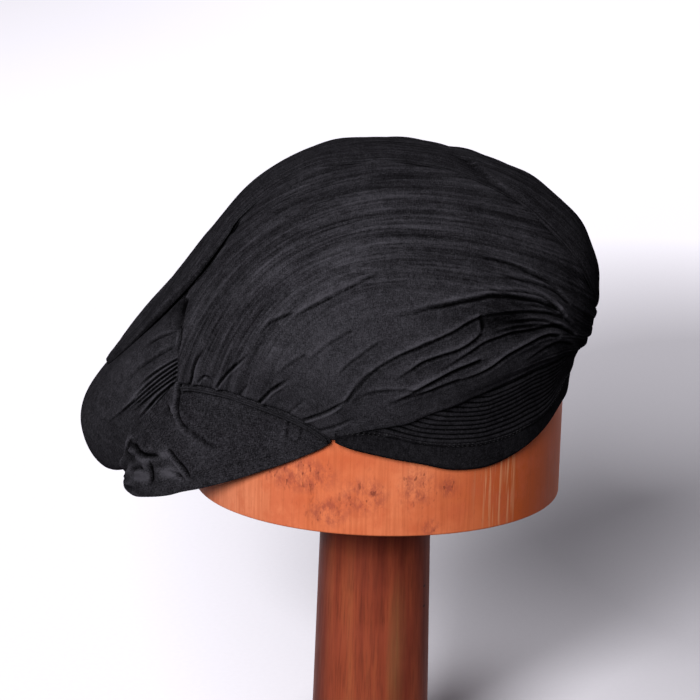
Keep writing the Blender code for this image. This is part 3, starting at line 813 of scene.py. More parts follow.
# %% Back pouch
POUCH_GATHERS = (
    # depth_mm, half_width_px, then pixels from the strong end to the faint one
    (1.0, 0.9, (178, 359), (164, 367), (152, 375), (136, 389)),
    (1.1, 0.9, (178, 363), (163, 373), (148, 385), (136, 397), (124, 410)),
    (1.2, 0.9, (178, 367), (160, 380), (142, 395), (124, 410), (104, 426)),
    (1.1, 0.9, (177, 372), (158, 386), (140, 401), (126, 412)),
    (1.2, 0.9, (176, 377), (158, 390), (144, 402), (130, 415)),
    (1.3, 1.0, (174, 383), (158, 397), (148, 408), (136, 422)),
    (0.9, 1.1, (170, 389), (157, 405), (148, 417), (139, 432)),
    (0.5, 1.2, (172, 333), (161, 337), (152, 342), (142, 349)),
    (0.4, 1.5, (172, 348), (158, 356), (140, 368), (124, 384)),
)
POUCH_COLUMNS = 300
POUCH_ROWS = 230
POUCH_SIZE = (0.17, 0.17)
POUCH_CROWDS = (((0.10, 0.10, 2.6), (0.90, 0.10, 2.6)), ((0.42, 0.22, 1.2),))
POUCH_END = 145.0
POUCH_RISES = (0.012, 0.572)
POUCH_RIPPLE = 0.0007
UNDER_WRAP_DEPTH = 0.0018
UNDER_FLAP_DEPTH = 0.0012
UNDER_TONGUE_DEPTH = 0.0013
TONGUE_GROOVE = 0.0014
UNDERSIDE_HOLLOW = 0.0024


def pouch_place(u, v):
    azimuth = NAPE + (NAPE - POUCH_END) * (2.0 * u - 1.0)
    rise = POUCH_RISES[0] + v * (POUCH_RISES[1] - POUCH_RISES[0])
    away = abs(azimuth - NAPE)
    edge_azimuths, edge_rises = np.array(WRAP_BACK_EDGE).T
    wrap_ends = NAPE - np.interp(rise, edge_rises, edge_azimuths)
    spots = on_map(azimuth, rise)
    cover = under_centre(spots)
    under_wrap = smooth_step(away, wrap_ends - 3.0, wrap_ends - 0.3) * smooth_step(rise, 0.03, 0.12)
    under_flap = smooth_step(away, 25.0, 30.0) * smooth_step(rise, 0.03, 0.08) * fade(rise, 0.25, 0.32)
    underside = hump(rise, 0.165, 0.045) * fade(away, 11.0, 20.0)
    ground = POUCH_RIPPLE * ripples(u * 0.17, v * 0.17, 0.045)
    ground -= UNDER_WRAP_DEPTH * under_wrap + UNDER_FLAP_DEPTH * under_flap + UNDERSIDE_HOLLOW * underside
    ground -= UNDER_TONGUE_DEPTH * smooth_step(cover, -1.0, 2.0)
    ground -= TONGUE_GROOVE * hump(cover, -0.3, 2.4) * (1 - under_wrap)
    drawn, mark = creases(photo_pixels(lifted(spots, ground)), POUCH_GATHERS)
    # Painted shade in the groove under the tongue and beside the side cloth's back edge.
    tucked = away - wrap_ends
    seam_shade = 1.6 * hump(tucked, -0.4, 0.9) + 0.7 * hump(tucked, -1.5, 3.0)
    mark -= 2.0 * hump(cover, -0.4, 2.0) + seam_shade * smooth_step(rise, 0.28, 0.38)
    face, back = lifted(spots, ground + drawn, ground - back_depth(u, v, room=0.0009))
    return face, back, mark


dice = np.random.default_rng(41)
pouch = cloth_sheet("hair_pouch", POUCH_COLUMNS, POUCH_ROWS, pouch_place, POUCH_SIZE, crowds=POUCH_CROWDS)
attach(pouch, "root")
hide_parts("back_pouch")

# %% [markdown]
# The flap round the nape is a loose band of thinner cloth with a stitched hem. Behind the ear it
# lies flat on the block, and under the bulge its end is crumpled. It hangs clear of the form, so it
# has a table of its own, of radius and height at its upper edge and at its hem.

# %% Nape flap
FLAP_CREASES = (
    # depth_mm, half_width_px, then pixels from the strong end to the faint one
    (1.4, 1.3, (181, 383), (180, 392), (179, 402), (179, 411), (181, 419), (184, 425), (190, 431)),
    (1.0, 1.2, (176, 415), (171, 408), (167, 403)),
    (0.4, 2.4, (184, 426), (196, 436), (210, 446), (226, 450)),
    (1.8, 2.4, (137, 446), (142, 453), (150, 456), (157, 456), (163, 460)),
    (1.0, 2.0, (153, 462), (152, 470), (152, 480), (149, 488)),
    (1.4, 1.4, (171, 451), (178, 460), (186, 469), (194, 484)),
    (0.8, 1.6, (170, 472), (178, 474), (188, 480)),
    (1.2, 2.0, (134, 441), (131, 449), (127, 457)),
    (0.7, 2.0, (134, 470), (142, 468), (148, 474)),
    (0.5, 1.4, (289, 420), (287, 433), (286, 447)),
    (0.3, 1.6, (301, 428), (300, 438), (296, 446)),
)
PALE_PATCHES = (
    # strength, middle and half sizes in pixels
    (3.0, 142.0, 477.0, 7.0, 4.0),
    (2.6, 170.0, 472.0, 9.0, 5.5),
    (1.9, 164.0, 455.0, 6.0, 3.5),
    (1.2, 129.0, 470.0, 4.0, 6.0),
)
FLAP_COLUMNS = 600
FLAP_ROWS_ACROSS = 100
FLAP_STEPS = 1200
FLAP_CROWDS = (((0.24, 0.05, 2.5), (0.76, 0.05, 2.5)), ())
FLAP_SIZE = (0.36, 0.055)
FLAP_WALL = 0.0006
FLAP_HEM = 0.145
FLAP_RADIUS = 0.12
FLAP_WIDTH = 0.05
FLAP_STAND_OFF = 0.0005
FLAP_SLACK = 0.0003
HEM_LIFT = 0.0003
CRUMPLE_HEIGHT = 0.0012
right_rows = np.array(FLAP_ROWS)
left_rows = right_rows[-2::-1].copy()
left_rows[:, 0] = 2 * NAPE - left_rows[:, 0]
flap_line = curve_through(np.vstack([right_rows, left_rows]), FLAP_STEPS)


def flap_points(u, v):
    """Points of the smooth flap, its outward direction there and its azimuth measured on the right side."""
    azimuth, top_radius, top_height, hem_radius, hem_height = along(flap_line, u).T
    turn = np.radians(azimuth)
    outward = np.stack([-np.sin(turn), -np.cos(turn), np.zeros_like(turn)], 1)
    points = outward * ((hem_radius * (1 - v) + top_radius * v) * MM)[:, None]
    points[:, 2] = BLOCK_UNDERSIDE + (hem_height * (1 - v) + top_height * v) * MM
    return points, outward, NAPE - abs(azimuth - NAPE)


def flap_place(u, v):
    """u runs round the nape, v from the hem up to the seam."""
    points, outward, azimuth = flap_points(u, v)
    pixels = photo_pixels(points)
    drawn, mark = creases(pixels, FLAP_CREASES)
    way_round = np.radians(azimuth) * FLAP_RADIUS
    up = v * FLAP_WIDTH
    wave = ripples(way_round, up, 0.017) + 0.35 * ripples(way_round, up, 0.008)
    slack = FLAP_SLACK * ripples(way_round, up, 0.03) * smooth_step(v, 0.05, 0.3)
    crumpled = smooth_step(azimuth, 153.0, 161.0) * (1.0 - 0.85 * smooth_step(azimuth, 163.0, 171.0))
    hem = fade(v, FLAP_HEM, FLAP_HEM + 0.02) * smooth_step(v, 0.0, 0.02)
    push = FLAP_STAND_OFF + drawn + HEM_LIFT * hem + slack
    push += CRUMPLE_HEIGHT * crumpled * wave * smooth_step(v, -0.1, 0.3)
    # Painted light and shade on the crumpled end, lighter on its crests and darker in its troughs, and a
    # painted shade line just above the hem.
    mark += crumpled * (0.10 + 0.45 * wave) - 0.5 * hump(v, FLAP_HEM + 0.01, 0.012)
    mark += patches(pixels, PALE_PATCHES)
    depth = FLAP_WALL + CRUMPLE_HEIGHT * crumpled * smooth_step(np.minimum(u, 1 - u), 0.0, 0.02)
    return points + outward * push[:, None], points - outward * depth[:, None], mark


dice = np.random.default_rng(51)
flap = cloth_sheet("neck_flap", FLAP_COLUMNS, FLAP_ROWS_ACROSS, flap_place, FLAP_SIZE, crowds=FLAP_CROWDS)
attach(flap, "root")
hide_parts("nape_flap")

# %% [markdown]
# A piped seam joins the side cloth to the flap: two thin rolls side by side. Rows of small stitches
# run beside it, along the flap's hem and along the top of each temple's hem. Each stitch is a
# spindle with only ten faces, because there are hundreds of them.

# %% Piped seams
SEAM_ENDS = (0.03, 0.99)
SEAM_DROP = 0.0075
SEAM_STEPS = 120
PIPE_RADIUS = 0.00055
PIPE_SINK = 0.0002
PIPE_SPACING = 0.0054


def seam_points(drop, lift, count):
    """Points along the seam, moved down towards the rim by drop on the map and lifted off the form."""
    t = np.linspace(*SEAM_ENDS, count)
    spots = along(edge_line(SEAM), t)
    reach = np.hypot(spots[:, 0], spots[:, 1])[:, None]
    return lifted(spots * (1.0 + drop / reach), lift)


def rod(name, rows_of_points, radius, sides=3):
    """Round rods along rows of points: a bevelled curve with filled ends, made into a mesh."""
    curve = bpy.data.curves.new(name, "CURVE")
    curve.dimensions = "3D"
    curve.bevel_depth = radius
    curve.bevel_resolution = sides
    curve.use_fill_caps = True
    for points in rows_of_points:
        spline = curve.splines.new("POLY")
        spline.points.add(len(points) - 1)
        for spot, point in zip(spline.points, points):
            spot.co = (*point, 1.0)
    piece = bpy.data.objects.new(name, curve)
    bpy.context.scene.collection.objects.link(piece)
    bpy.ops.object.select_all(action="DESELECT")
    piece.select_set(True)
    bpy.context.view_layer.objects.active = piece
    bpy.ops.object.convert(target="MESH")
    piece = bpy.context.object
    bpy.ops.object.mode_set(mode="EDIT")
    bpy.ops.mesh.select_all(action="SELECT")
    bpy.ops.mesh.remove_doubles(threshold=0.00001)
    bpy.ops.mesh.normals_make_consistent(inside=False)
    bpy.ops.object.mode_set(mode="OBJECT")
    piece.data.shade_smooth()
    piece.select_set(False)
    return piece


for side in ("right", "left"):
    flip = [-1 if side == "left" else 1, 1, 1]
    drops = (SEAM_DROP, SEAM_DROP + PIPE_SPACING)
    pipes = [seam_points(drop, PIPE_RADIUS - PIPE_SINK, SEAM_STEPS) * flip for drop in drops]
    roll = rod(f"seam_piping_{side}", pipes, PIPE_RADIUS)
    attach(roll, "root")
    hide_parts(f"seam_roll_{side}")
    print(roll.name, len(roll.data.polygons), "faces")

# %% Stitches
STITCH_SPACING = 0.0024
STITCH_LENGTH = 0.0015
STITCH_RADIUS = 0.00014
STITCH_SIDES = 5
TEMPLE_ROWS = (0.91, 0.985)
TEMPLE_STEPS = 200
FLAP_ROW_ENDS = (0.02, 0.30)
FLAP_ROW_STEPS = 160
BESIDE_SEAM = 0.0125
BESIDE_SEAM_STEPS = 60
THREAD_LIFTS = {"temple": 0.00042, "flap": 0.0009, "seam": 0.00035}


def stitch_mesh(name, lines):
    """Spindles laid end to end along each line of points."""
    points = []
    faces = []
    for line in lines:
        reach = np.concatenate([[0.0], np.cumsum(np.linalg.norm(np.diff(line, axis=0), axis=1))])
        for start in np.arange(STITCH_SPACING, reach[-1] - STITCH_LENGTH, STITCH_SPACING):
            end = start + STITCH_LENGTH * dice.uniform(0.85, 1.1)
            tail, head = (np.array([np.interp(d, reach, line[:, k]) for k in range(3)]) for d in (start, end))
            run = (head - tail) / np.linalg.norm(head - tail)
            first = np.cross(run, (0.0, 0.0, 1.0))
            first /= np.linalg.norm(first)
            second = np.cross(run, first)
            number = len(points)
            points += [tail, head]
            for k in range(STITCH_SIDES):
                turn = math.tau * k / STITCH_SIDES
                outwards = math.cos(turn) * first + math.sin(turn) * second
                points.append((tail + head) / 2 + STITCH_RADIUS * outwards)
                here = number + 2 + k
                there = number + 2 + (k + 1) % STITCH_SIDES
                faces += [(number, there, here), (number + 1, here, there)]
    mesh = bpy.data.meshes.new(name)
    mesh.from_pydata([tuple(point) for point in points], [], faces)
    mesh.shade_smooth()
    piece = bpy.data.objects.new(name, mesh)
    bpy.context.scene.collection.objects.link(piece)
    return piece


def hem_lines(flip):
    """One side's stitched lines: over the temple's hem, over the flap's hem and beside the piped seam."""
    share = np.linspace(0.02, 0.98, TEMPLE_STEPS)
    hem_rows = [band_spots(share, np.full(TEMPLE_STEPS, HEM_ROWS * part))[0] for part in TEMPLE_ROWS]
    lines = [lifted(spots, THREAD_LIFTS["temple"]) for spots in hem_rows]
    u = np.linspace(*FLAP_ROW_ENDS, FLAP_ROW_STEPS)
    points, outward = flap_points(u, np.full(FLAP_ROW_STEPS, FLAP_HEM))[:2]
    lines.append(points + outward * THREAD_LIFTS["flap"])
    lines.append(seam_points(SEAM_DROP + BESIDE_SEAM, THREAD_LIFTS["seam"], SEAM_STEPS)[:BESIDE_SEAM_STEPS])
    return [line * flip for line in lines]


for side in ("right", "left"):
    dice = np.random.default_rng(61)
    rows_of_thread = stitch_mesh(f"stitching_{side}", hem_lines([-1 if side == "left" else 1, 1, 1]))
    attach(rows_of_thread, "root")
    print(rows_of_thread.name, len(rows_of_thread.data.polygons), "faces")

# %% [markdown]
# The stand is turned wood: a thick round block, a plain post and a foot. The CAD solids are faceted,
# so each is turned again with a fine outline, from a cylinder with bevelled edges.

# %% Wooden stand
BLOCK_RADIUS = 0.0907
BLOCK_TOP = BLOCK_UNDERSIDE + 0.090
POST_TOP_RADIUS = 0.02725
POST_FOOT_RADIUS = 0.0300
BASE_RADIUS = 0.070
BASE_HEIGHT = 0.022
JOINT_GAP = 0.0003
TURNED = (
    # name, CAD node, radius at the top and at the foot, low and high end, height and width of each round edge
    ("hat_block", "stand_block", BLOCK_RADIUS, BLOCK_RADIUS, BLOCK_UNDERSIDE, BLOCK_TOP,
     ((BLOCK_TOP, 0.012), (BLOCK_UNDERSIDE, 0.001))),
    ("block_post", "stand_post", POST_TOP_RADIUS, POST_FOOT_RADIUS, BASE_HEIGHT + JOINT_GAP,
     BLOCK_UNDERSIDE - JOINT_GAP, ()),
    ("post_foot", "stand_base", BASE_RADIUS, BASE_RADIUS, 0.0, BASE_HEIGHT,
     ((BASE_HEIGHT, 0.005), (0.0, 0.001))),
)


def turned_piece(name, top_radius, foot_radius, low, high, bevels, sides=160):
    """A turned solid from a cone primitive, with its round edges bevelled one by one."""
    bpy.ops.mesh.primitive_cone_add(vertices=sides, radius1=foot_radius, radius2=top_radius, depth=high - low,
                                    end_fill_type="NGON", location=(0, 0, (low + high) / 2))
    piece = bpy.context.object
    piece.name = name
    bpy.ops.object.transform_apply(location=True, rotation=True, scale=True)
    for height, width in bevels:
        bpy.ops.object.mode_set(mode="EDIT")
        bpy.ops.mesh.select_all(action="DESELECT")
        bpy.ops.object.mode_set(mode="OBJECT")
        for edge in piece.data.edges:
            ends = [piece.data.vertices[k].co.z for k in edge.vertices]
            edge.select = all(abs(z - height) < 1e-5 for z in ends)
        bpy.ops.object.mode_set(mode="EDIT")
        bpy.ops.mesh.select_mode(type="EDGE")
        bpy.ops.mesh.bevel(offset=width, segments=5, profile=0.5, affect="EDGES")
        bpy.ops.object.mode_set(mode="OBJECT")
    bpy.ops.object.select_all(action="DESELECT")
    piece.select_set(True)
    bpy.ops.object.shade_smooth_by_angle(angle=math.radians(40))
    piece.select_set(False)
    return piece


for name, node, *sizes in TURNED:
    piece = turned_piece(name, *sizes)
    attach(piece, "root")
    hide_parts(node)
    print(piece.name, len(piece.data.polygons), "faces")

# %% [markdown]
# Every finish is built from noises and soft balls of influence placed on the object itself, so it
# stays on the piece from any side. The helper below adds the nodes and links them, which keeps each
# finish down to the lines that say what is laid over what.

# %% Helper: a finish


class Finish:
    """A material and a short way to add and link its nodes."""

    def __init__(self, name, roughness=None, gloss=0.0):
        self.material = bpy.data.materials.new(name)
        self.material.use_nodes = True
        self.tree = self.material.node_tree
        self.shader = self.tree.nodes["Principled BSDF"]
        self.shader.inputs["Specular IOR Level"].default_value = gloss
        if roughness is not None:
            self.shader.inputs["Roughness"].default_value = roughness

    def node(self, kind, values=(), **settings):
        """Adds a node with its settings; each value is linked to its socket, or set there."""
        made = self.tree.nodes.new(kind)
        for key, value in settings.items():
            setattr(made, key, value)
        for socket, value in dict(values).items():
            if isinstance(value, bpy.types.NodeSocket):
                self.tree.links.new(value, made.inputs[socket])
            else:
                made.inputs[socket].default_value = value
        return made

    def place(self):
        """The place on the object itself, in metres."""
        return self.node("ShaderNodeTexCoord").outputs["Object"]

    def scaled(self, coordinates, scale):
        return self.node("ShaderNodeMapping", {"Vector": coordinates, "Scale": scale}).outputs["Vector"]

    def noise(self, coordinates, scale, detail=2.0, rough=0.5):
        """Noise with so many waves a metre; three numbers stretch it."""
        if hasattr(scale, "__len__"):
            coordinates, scale = self.scaled(coordinates, scale), 1.0
        values = {"Vector": coordinates, "Scale": scale, "Detail": detail, "Roughness": rough}
        return self.node("ShaderNodeTexNoise", values).outputs["Fac"]

    def spot(self, coordinates, middle, radii):
        """A soft ball of influence: 1 at its middle, 0 at its radii."""
        values = {"Vector": coordinates, "Location": middle, "Scale": radii}
        inside = self.node("ShaderNodeMapping", values, vector_type="TEXTURE").outputs["Vector"]
        ball = self.node("ShaderNodeTexGradient", {"Vector": inside}, gradient_type="SPHERICAL")
        return ball.outputs["Fac"]

    def ramp(self, value, *stops):
        """Turns a value into tones. Each stop: a place from 0 to 1, then a grey or a colour."""
        made = self.node("ShaderNodeValToRGB", {"Fac": value})
        while len(made.color_ramp.elements) < len(stops):
            made.color_ramp.elements.new(0.5)
        for element, (place, colour) in zip(made.color_ramp.elements, stops):
            element.position = place
            element.color = (*colour, 1.0) if hasattr(colour, "__len__") else (colour, colour, colour, 1.0)
        return made.outputs["Color"]

    def mix(self, factor, first, second):
        """The first tone where the factor is 0, and the second where it is 1."""
        tones = [tone if isinstance(tone, bpy.types.NodeSocket) else (*tone, 1.0) for tone in (first, second)]
        values = {0: factor, 6: tones[0], 7: tones[1]}
        return self.node("ShaderNodeMix", values, data_type="RGBA").outputs[2]

    def over(self, colour, mask, low, high, share, tone):
        """Lays a tone over a colour, from none where the mask is low to a share of it where it is high."""
        return self.mix(self.ramp(mask, (low, 0.0), (high, share)), colour, tone)

    def maths(self, operation, first, second=0.0):
        return self.node("ShaderNodeMath", {0: first, 1: second}, operation=operation).outputs[0]

    def total(self, *terms):
        """The sum of socket times weight over all terms."""
        parts = [self.maths("MULTIPLY", socket, weight) for socket, weight in terms]
        made = parts[0]
        for part in parts[1:]:
            made = self.maths("ADD", made, part)
        return made

    def bump(self, height, distance, strength, below=None):
        values = {"Height": height, "Distance": distance, "Strength": strength}
        if below is not None:
            values["Normal"] = below
        return self.node("ShaderNodeBump", values).outputs["Normal"]

    def surface(self, colour=None, roughness=None, normal=None):
        for socket, value in (("Base Color", colour), ("Roughness", roughness), ("Normal", normal)):
            if value is not None:
                self.tree.links.new(value, self.shader.inputs[socket])


# %% [markdown]
# Black cotton is never flat black. Its finish is built from the thread up: slubs along warp and
# weft in the cloth's own flat map, a weave too fine to count, lint, a slow change of tone, streaks
# along the long arcs that paint the shade and highlight of their fine folds, and the crease value,
# which paints shade into the valleys and lightens the ridges, partly as dust and partly as painted
# highlight. The cotton is washed out and has no shine at all.

# %% Black cotton
CLOTH_TINT = (1.0, 0.95, 1.12)
THREADS = 1700.0
SLUBS = 380.0
LINT_TONE = (0.12, 0.12, 0.125)


def grey(value):
    return tuple(value * part for part in CLOTH_TINT)


def black_cotton(name, brightness=1.0, arcs=0.75, slub=1.0):
    finish = Finish(name, roughness=1.0)
    threads = finish.node("ShaderNodeUVMap", uv_map="cloth").outputs["UV"]
    drawn = finish.node("ShaderNodeUVMap", uv_map="arcs").outputs["UV"]
    place = finish.place()
    weft = finish.noise(threads, (THREADS, SLUBS, 1.0), 2.0, 0.6)
    warp = finish.noise(threads, (SLUBS, THREADS, 1.0), 2.0, 0.6)
    fibre = finish.noise(place, 1900.0, 2.0, 0.7)
    tone = finish.noise(place, 30.0, 3.0, 0.55)
    mottle = finish.noise(place, 230.0, 3.0, 0.6)
    outwards = finish.node("ShaderNodeSeparateXYZ", {"Vector": drawn}).outputs["Y"]
    over_ear = finish.ramp(outwards, (0.05, 0.0), (0.09, 1.0))
    streaks = [finish.noise(drawn, scale, 3.0, 0.6) for scale in ((14.0, 260.0, 1.0), (30.0, 760.0, 1.0))]
    long_arcs, fine_arcs = (finish.mix(over_ear, (0.5, 0.5, 0.5), streak) for streak in streaks)
    crease = finish.node("ShaderNodeAttribute", attribute_name=CREASE).outputs["Fac"]
    weights = ((tone, 0.30), (mottle, 0.35), (weft, 0.42 * slub), (warp, 0.42 * slub), (fibre, 0.95),
               (long_arcs, arcs), (fine_arcs, arcs))
    # The crease value and the arc streaks bring painted shade and highlight into this sum.
    wear_and_shade = finish.total((crease, 0.24), *weights)
    wear_and_shade = finish.maths("ADD", wear_and_shade, 0.5 - 0.5 * sum(weight for socket, weight in weights))
    stops = ((0.05, 0.0015), (0.34, 0.0095), (0.55, 0.0225), (0.95, 0.062))
    colour = finish.ramp(wear_and_shade, *((at, grey(light * brightness)) for at, light in stops))
    lint = finish.ramp(finish.noise(place, 900.0, 1.0), (0.74, 0.0), (0.80, 1.0))
    colour = finish.mix(finish.maths("MULTIPLY", lint, 0.25), colour, LINT_TONE)
    arc_bump = finish.bump(finish.total((long_arcs, 1.0), (fine_arcs, 0.5)), 0.0012, 0.6 * arcs)
    thread_bump = finish.bump(finish.total((weft, 1.0), (warp, 1.0)), 0.00025, 0.60 * slub, arc_bump)
    finish.surface(colour, normal=finish.bump(fibre, 0.00015, 0.40, thread_bump))
    return finish.material


# The copies differ in brightness and streaks; the temple pleats' copy is much the darkest.
cotton = black_cotton("black_cotton")
crown_cotton = black_cotton("black_crown_cotton", brightness=0.92, arcs=0.60)
band_cotton = black_cotton("pressed_black_cotton", brightness=0.58, arcs=0.0)
pouch_cotton = black_cotton("soft_black_cotton", brightness=1.05, arcs=0.0)
flap_cotton = black_cotton("thin_black_cotton", brightness=0.98, arcs=0.0, slub=1.8)
seam_cotton = black_cotton("seam_black_cotton", brightness=0.85, arcs=0.0)
print("cloth finishes", [m.name for m in bpy.data.materials if "cotton" in m.name])

# %% Black sewing thread


def sewing_thread():
    finish = Finish("black_thread", gloss=0.3)
    twist = finish.noise(finish.place(), (2600.0, 2600.0, 5200.0))
    colour = finish.ramp(twist, (0.3, grey(0.008)), (0.7, grey(0.026)))
    finish.surface(colour, finish.ramp(twist, (0.3, 0.5), (0.7, 0.7)), finish.bump(twist, 0.0001, 0.4))
    return finish.material


thread = sewing_thread()
print("thread finish", thread.name)

# %% [markdown]
# The block is orange wood with painted light on the pouch's side and painted shade towards the
# forehead, dark red burl marks in patches under the ear and a few pale scratches along the grain.
# The post is a darker red wood with painted shade under the block and down its side towards the
# pouch, one olive streak and two small pegs. Both are noises stretched along the grain, and each
# patch has a soft ball of its own to stay in.

# %% Woods
WOOD_GLOSS = 0.05
BURL_SPOTS = (
    # middle of the patch on the block, its radii
    ((-0.0904, 0.0068, 0.189), (0.030, 0.014, 0.011)),
    ((-0.0876, 0.0236, 0.180), (0.030, 0.012, 0.009)),
    ((-0.0889, -0.0180, 0.194), (0.030, 0.011, 0.012)),
    ((-0.0849, -0.0320, 0.193), (0.020, 0.005, 0.007)),
    ((-0.0826, 0.0375, 0.197), (0.030, 0.024, 0.011)),
    ((-0.0875, -0.0240, 0.174), (0.020, 0.005, 0.005)),
)
PAINTED_LIGHT_SIDE = ((-0.045, 0.095, 0.20), (0.075, 0.075, 0.2))
PAINTED_SHADE_SIDE = ((-0.050, -0.080, 0.20), (0.075, 0.065, 0.2))
SCRATCHED = ((-0.071, -0.056, 0.190), (0.035, 0.014, 0.030))
PAINTED_SHADE_UNDER_BLOCK = ((0.0, 0.0, 0.174), (0.07, 0.07, 0.040))
POST_SHADE = ((-0.012, 0.031, 0.09), (0.018, 0.013, 0.30))
OLIVE_STREAK = ((-0.024, -0.012, 0.085), (0.012, 0.006, 0.050))
PEGS = (
    ((-0.0125, -0.0253, 0.1195), (0.003, 0.0009, 0.0009)),
    ((-0.0125, -0.0254, 0.1090), (0.003, 0.0009, 0.0009)),
)


def block_timber():
    finish = Finish("block_burl", gloss=WOOD_GLOSS)
    place = finish.place()
    cloud = finish.noise(place, 24.0, 4.0, 0.6)
    blotches = finish.noise(place, 58.0, 5.0, 0.65)
    grain = finish.noise(place, (620.0, 620.0, 24.0), 3.0, 0.6)
    curl = finish.noise(finish.scaled(place, (150.0, 150.0, 110.0)), 1.8, 6.0, 0.72)
    pores = finish.noise(place, (520.0, 520.0, 260.0))
    burl = finish.total(*((finish.spot(place, *patch), 1.0) for patch in BURL_SPOTS))
    colour = finish.ramp(cloud, (0.30, (0.60, 0.128, 0.048)), (0.50, (0.72, 0.190, 0.080)),
                         (0.70, (0.82, 0.250, 0.112)))
    # The first two layers are painted light on the pouch's side and painted shade towards the forehead.
    for mask, low, high, share, tone in (
        (finish.spot(place, *PAINTED_LIGHT_SIDE), 0.0, 0.6, 0.8, (0.70, 0.225, 0.115)),
        (finish.spot(place, *PAINTED_SHADE_SIDE), 0.0, 0.7, 0.9, (0.50, 0.090, 0.018)),
        (blotches, 0.48, 0.62, 0.55, (0.58, 0.120, 0.050)),
        (grain, 0.45, 0.64, 0.30, (0.40, 0.085, 0.030)),
    ):
        colour = finish.over(colour, mask, low, high, share, tone)
    scratches = finish.ramp(grain, (0.50, 0.0), (0.62, 0.42))
    scratched = finish.ramp(finish.spot(place, *SCRATCHED), (0.0, 0.0), (0.5, 1.0))
    colour = finish.mix(finish.maths("MULTIPLY", scratches, scratched), colour, (0.90, 0.46, 0.24))
    stains = finish.ramp(curl, (0.40, 0.0), (0.60, 1.0))
    stained = finish.maths("MULTIPLY", stains, finish.ramp(burl, (0.05, 0.04), (0.5, 0.62)))
    colour = finish.mix(stained, colour, (0.27, 0.055, 0.040))
    pits = finish.ramp(pores, (0.62, 0.0), (0.70, 1.0))
    pitted = finish.maths("MULTIPLY", pits, finish.ramp(burl, (0.0, 0.10), (0.5, 0.6)))
    colour = finish.mix(pitted, colour, (0.14, 0.030, 0.020))
    relief = finish.bump(pitted, 0.0004, 0.35, finish.bump(grain, 0.0003, 0.25))
    finish.surface(colour, finish.ramp(cloud, (0.3, 0.40), (0.7, 0.55)), relief)
    return finish.material


def post_timber():
    finish = Finish("post_hardwood", gloss=WOOD_GLOSS)
    place = finish.place()
    streak = finish.noise(place, (120.0, 120.0, 7.0), 4.0, 0.6)
    fine = finish.noise(place, (900.0, 900.0, 60.0), 3.0, 0.6)
    cloud = finish.noise(place, 34.0, 3.0)
    # Painted shade under the block and down the post's side towards the pouch.
    shaded = finish.total((finish.ramp(finish.spot(place, *PAINTED_SHADE_UNDER_BLOCK), (0.0, 0.0), (0.5, 0.92)), 1.0),
                          (finish.ramp(finish.spot(place, *POST_SHADE), (0.0, 0.0), (0.7, 0.7)), 1.0))
    grained = finish.ramp(streak, (0.3, 0.3), (0.6, 1.0))
    olive = finish.maths("MULTIPLY", finish.spot(place, *OLIVE_STREAK), grained)
    pegs = finish.total(*((finish.spot(place, *peg), 1.0) for peg in PEGS))
    colour = finish.ramp(streak, (0.32, (0.150, 0.026, 0.015)), (0.52, (0.255, 0.052, 0.024)),
                         (0.72, (0.310, 0.082, 0.034)))
    colour = finish.over(colour, fine, 0.45, 0.68, 0.45, (0.085, 0.020, 0.012))
    colour = finish.over(colour, cloud, 0.45, 0.75, 0.4, (0.30, 0.062, 0.036))
    colour = finish.mix(shaded, colour, (0.040, 0.006, 0.006))
    colour = finish.mix(olive, colour, (0.22, 0.115, 0.045))
    colour = finish.over(colour, pegs, 0.1, 0.5, 0.8, (0.02, 0.008, 0.008))
    finish.surface(colour, finish.ramp(fine, (0.3, 0.42), (0.7, 0.56)), finish.bump(fine, 0.0002, 0.25))
    return finish.material


burl_wood = block_timber()
hardwood = post_timber()
print("wood finishes", burl_wood.name, hardwood.name)

# %% Finishes onto pieces
FINISHES = {
    "side_cloth_right": cotton, "side_cloth_left": cotton, "centre_cloth": crown_cotton,
    "temple_pleats_right": band_cotton, "temple_pleats_left": band_cotton, "hair_pouch": pouch_cotton,
    "neck_flap": flap_cotton, "seam_piping_right": seam_cotton, "seam_piping_left": seam_cotton,
    "stitching_right": thread, "stitching_left": thread,
    "hat_block": burl_wood, "block_post": hardwood, "post_foot": hardwood,
}
for name, finish in FINISHES.items():
    piece = bpy.data.objects[name]
    piece.data.materials.clear()
    piece.data.materials.append(finish)

# %% [markdown]
# The studio is plain: a wide pale floor and soft light, shown without a film curve. Black cloth and
# white paper need different amounts of light, so the floor has a lamp of its own, low on the upper
# left of the camera. The hat's shadow from that lamp greys the floor on the lower right, deepened and
# widened there by painted shadow on the paper, which also greys it faintly far behind on the left.
# The piece has the key light from the same side, and a weaker lamp from behind for its far side.
# The air is faint where it lights things and white where the camera sees it.

# %% Floor
FLOOR_SIZE = 40.0
FLOOR_TONE = (0.90, 0.876, 0.94)
PAPER_FIBRES = 300.0
PAPER_FLECK = 0.98
PAINTED_SHADOW_TONE = (0.10, 0.092, 0.108)
PAINTED_FLOOR_SHADOWS = (
    # middle, radii, strength of painted shadow on the paper: beside the hat, and faintly far behind it on the
    # left
    ((0.62, -0.34, 0.0), (1.05, 0.52, 0.3), 0.55),
    ((5.50, 2.20, 0.0), (4.5, 2.00, 0.3), 0.22),
)
bpy.ops.mesh.primitive_plane_add(size=FLOOR_SIZE)
floor = bpy.context.object
floor.name = "studio_floor"
floor.visible_diffuse = False
floor.select_set(False)
paper = Finish("studio_paper", roughness=0.95)
where = paper.place()
fibres = paper.noise(where, PAPER_FIBRES)
colour = paper.ramp(fibres, (0.3, [PAPER_FLECK * part for part in FLOOR_TONE]), (0.7, FLOOR_TONE))
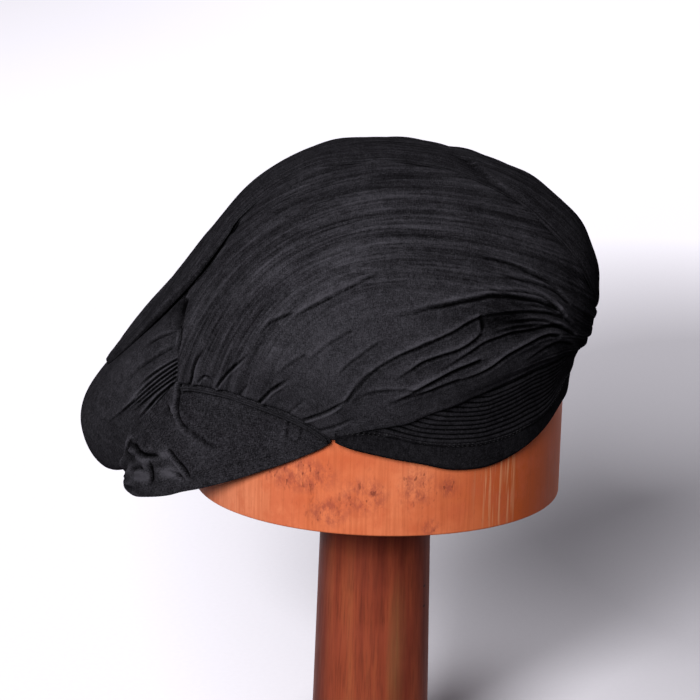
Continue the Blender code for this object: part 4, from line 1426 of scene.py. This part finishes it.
# Painted shadow on the paper.
for middle, radii, shade in PAINTED_FLOOR_SHADOWS:
    colour = paper.over(colour, paper.spot(where, middle, radii), 0.0, 0.55, shade, PAINTED_SHADOW_TONE)
paper.surface(colour)
floor.data.materials.append(paper.material)
print("floor", FLOOR_SIZE, "m wide")

# %% Lights
LIGHTS = (
    # name, lights the floor, azimuth from the camera towards the nape, elevation, angle across, strength
    ("key_light", False, 24.0, 27.0, 30.0, 3.6),
    ("back_light", False, 190.0, 38.0, 50.0, 1.3),
    ("floor_light", True, 20.0, 19.0, 26.0, 10.0),
)
AIR_LIGHT = 0.13
AIR_SEEN = 1.05
AIR_TONE = (0.97, 0.93, 1.0, 1.0)
LAMP_HEIGHT = 1.5
lit_piece = bpy.data.collections.new("lit_piece")
lit_floor = bpy.data.collections.new("lit_floor")
lit_floor.objects.link(floor)
for name in FINISHES:
    lit_piece.objects.link(bpy.data.objects[name])
for name, for_floor, azimuth, elevation, across, strength in LIGHTS:
    bpy.ops.object.light_add(type="SUN", location=(0.0, 0.0, LAMP_HEIGHT))
    light = bpy.context.object
    light.name = name
    light.data.angle = math.radians(across)
    light.data.energy = strength
    a = math.radians(azimuth)
    e = math.radians(elevation)
    towards = Vector((-math.cos(e) * math.cos(a), math.cos(e) * math.sin(a), math.sin(e)))
    light.rotation_euler = (-towards).to_track_quat("-Z", "Y").to_euler()
    light.light_linking.receiver_collection = lit_floor if for_floor else lit_piece
    light.select_set(False)
world = bpy.data.worlds.new("studio_air")
world.use_nodes = True
air = world.node_tree.nodes["Background"]
air.inputs["Color"].default_value = AIR_TONE
seen = world.node_tree.nodes.new("ShaderNodeLightPath")
strength = world.node_tree.nodes.new("ShaderNodeMapRange")
strength.inputs["To Min"].default_value = AIR_LIGHT
strength.inputs["To Max"].default_value = AIR_SEEN
world.node_tree.links.new(seen.outputs["Is Camera Ray"], strength.inputs["Value"])
world.node_tree.links.new(strength.outputs["Result"], air.inputs["Strength"])
bpy.context.scene.world = world
bpy.context.scene.view_settings.view_transform = "Standard"
print("lights", [row[0] for row in LIGHTS])
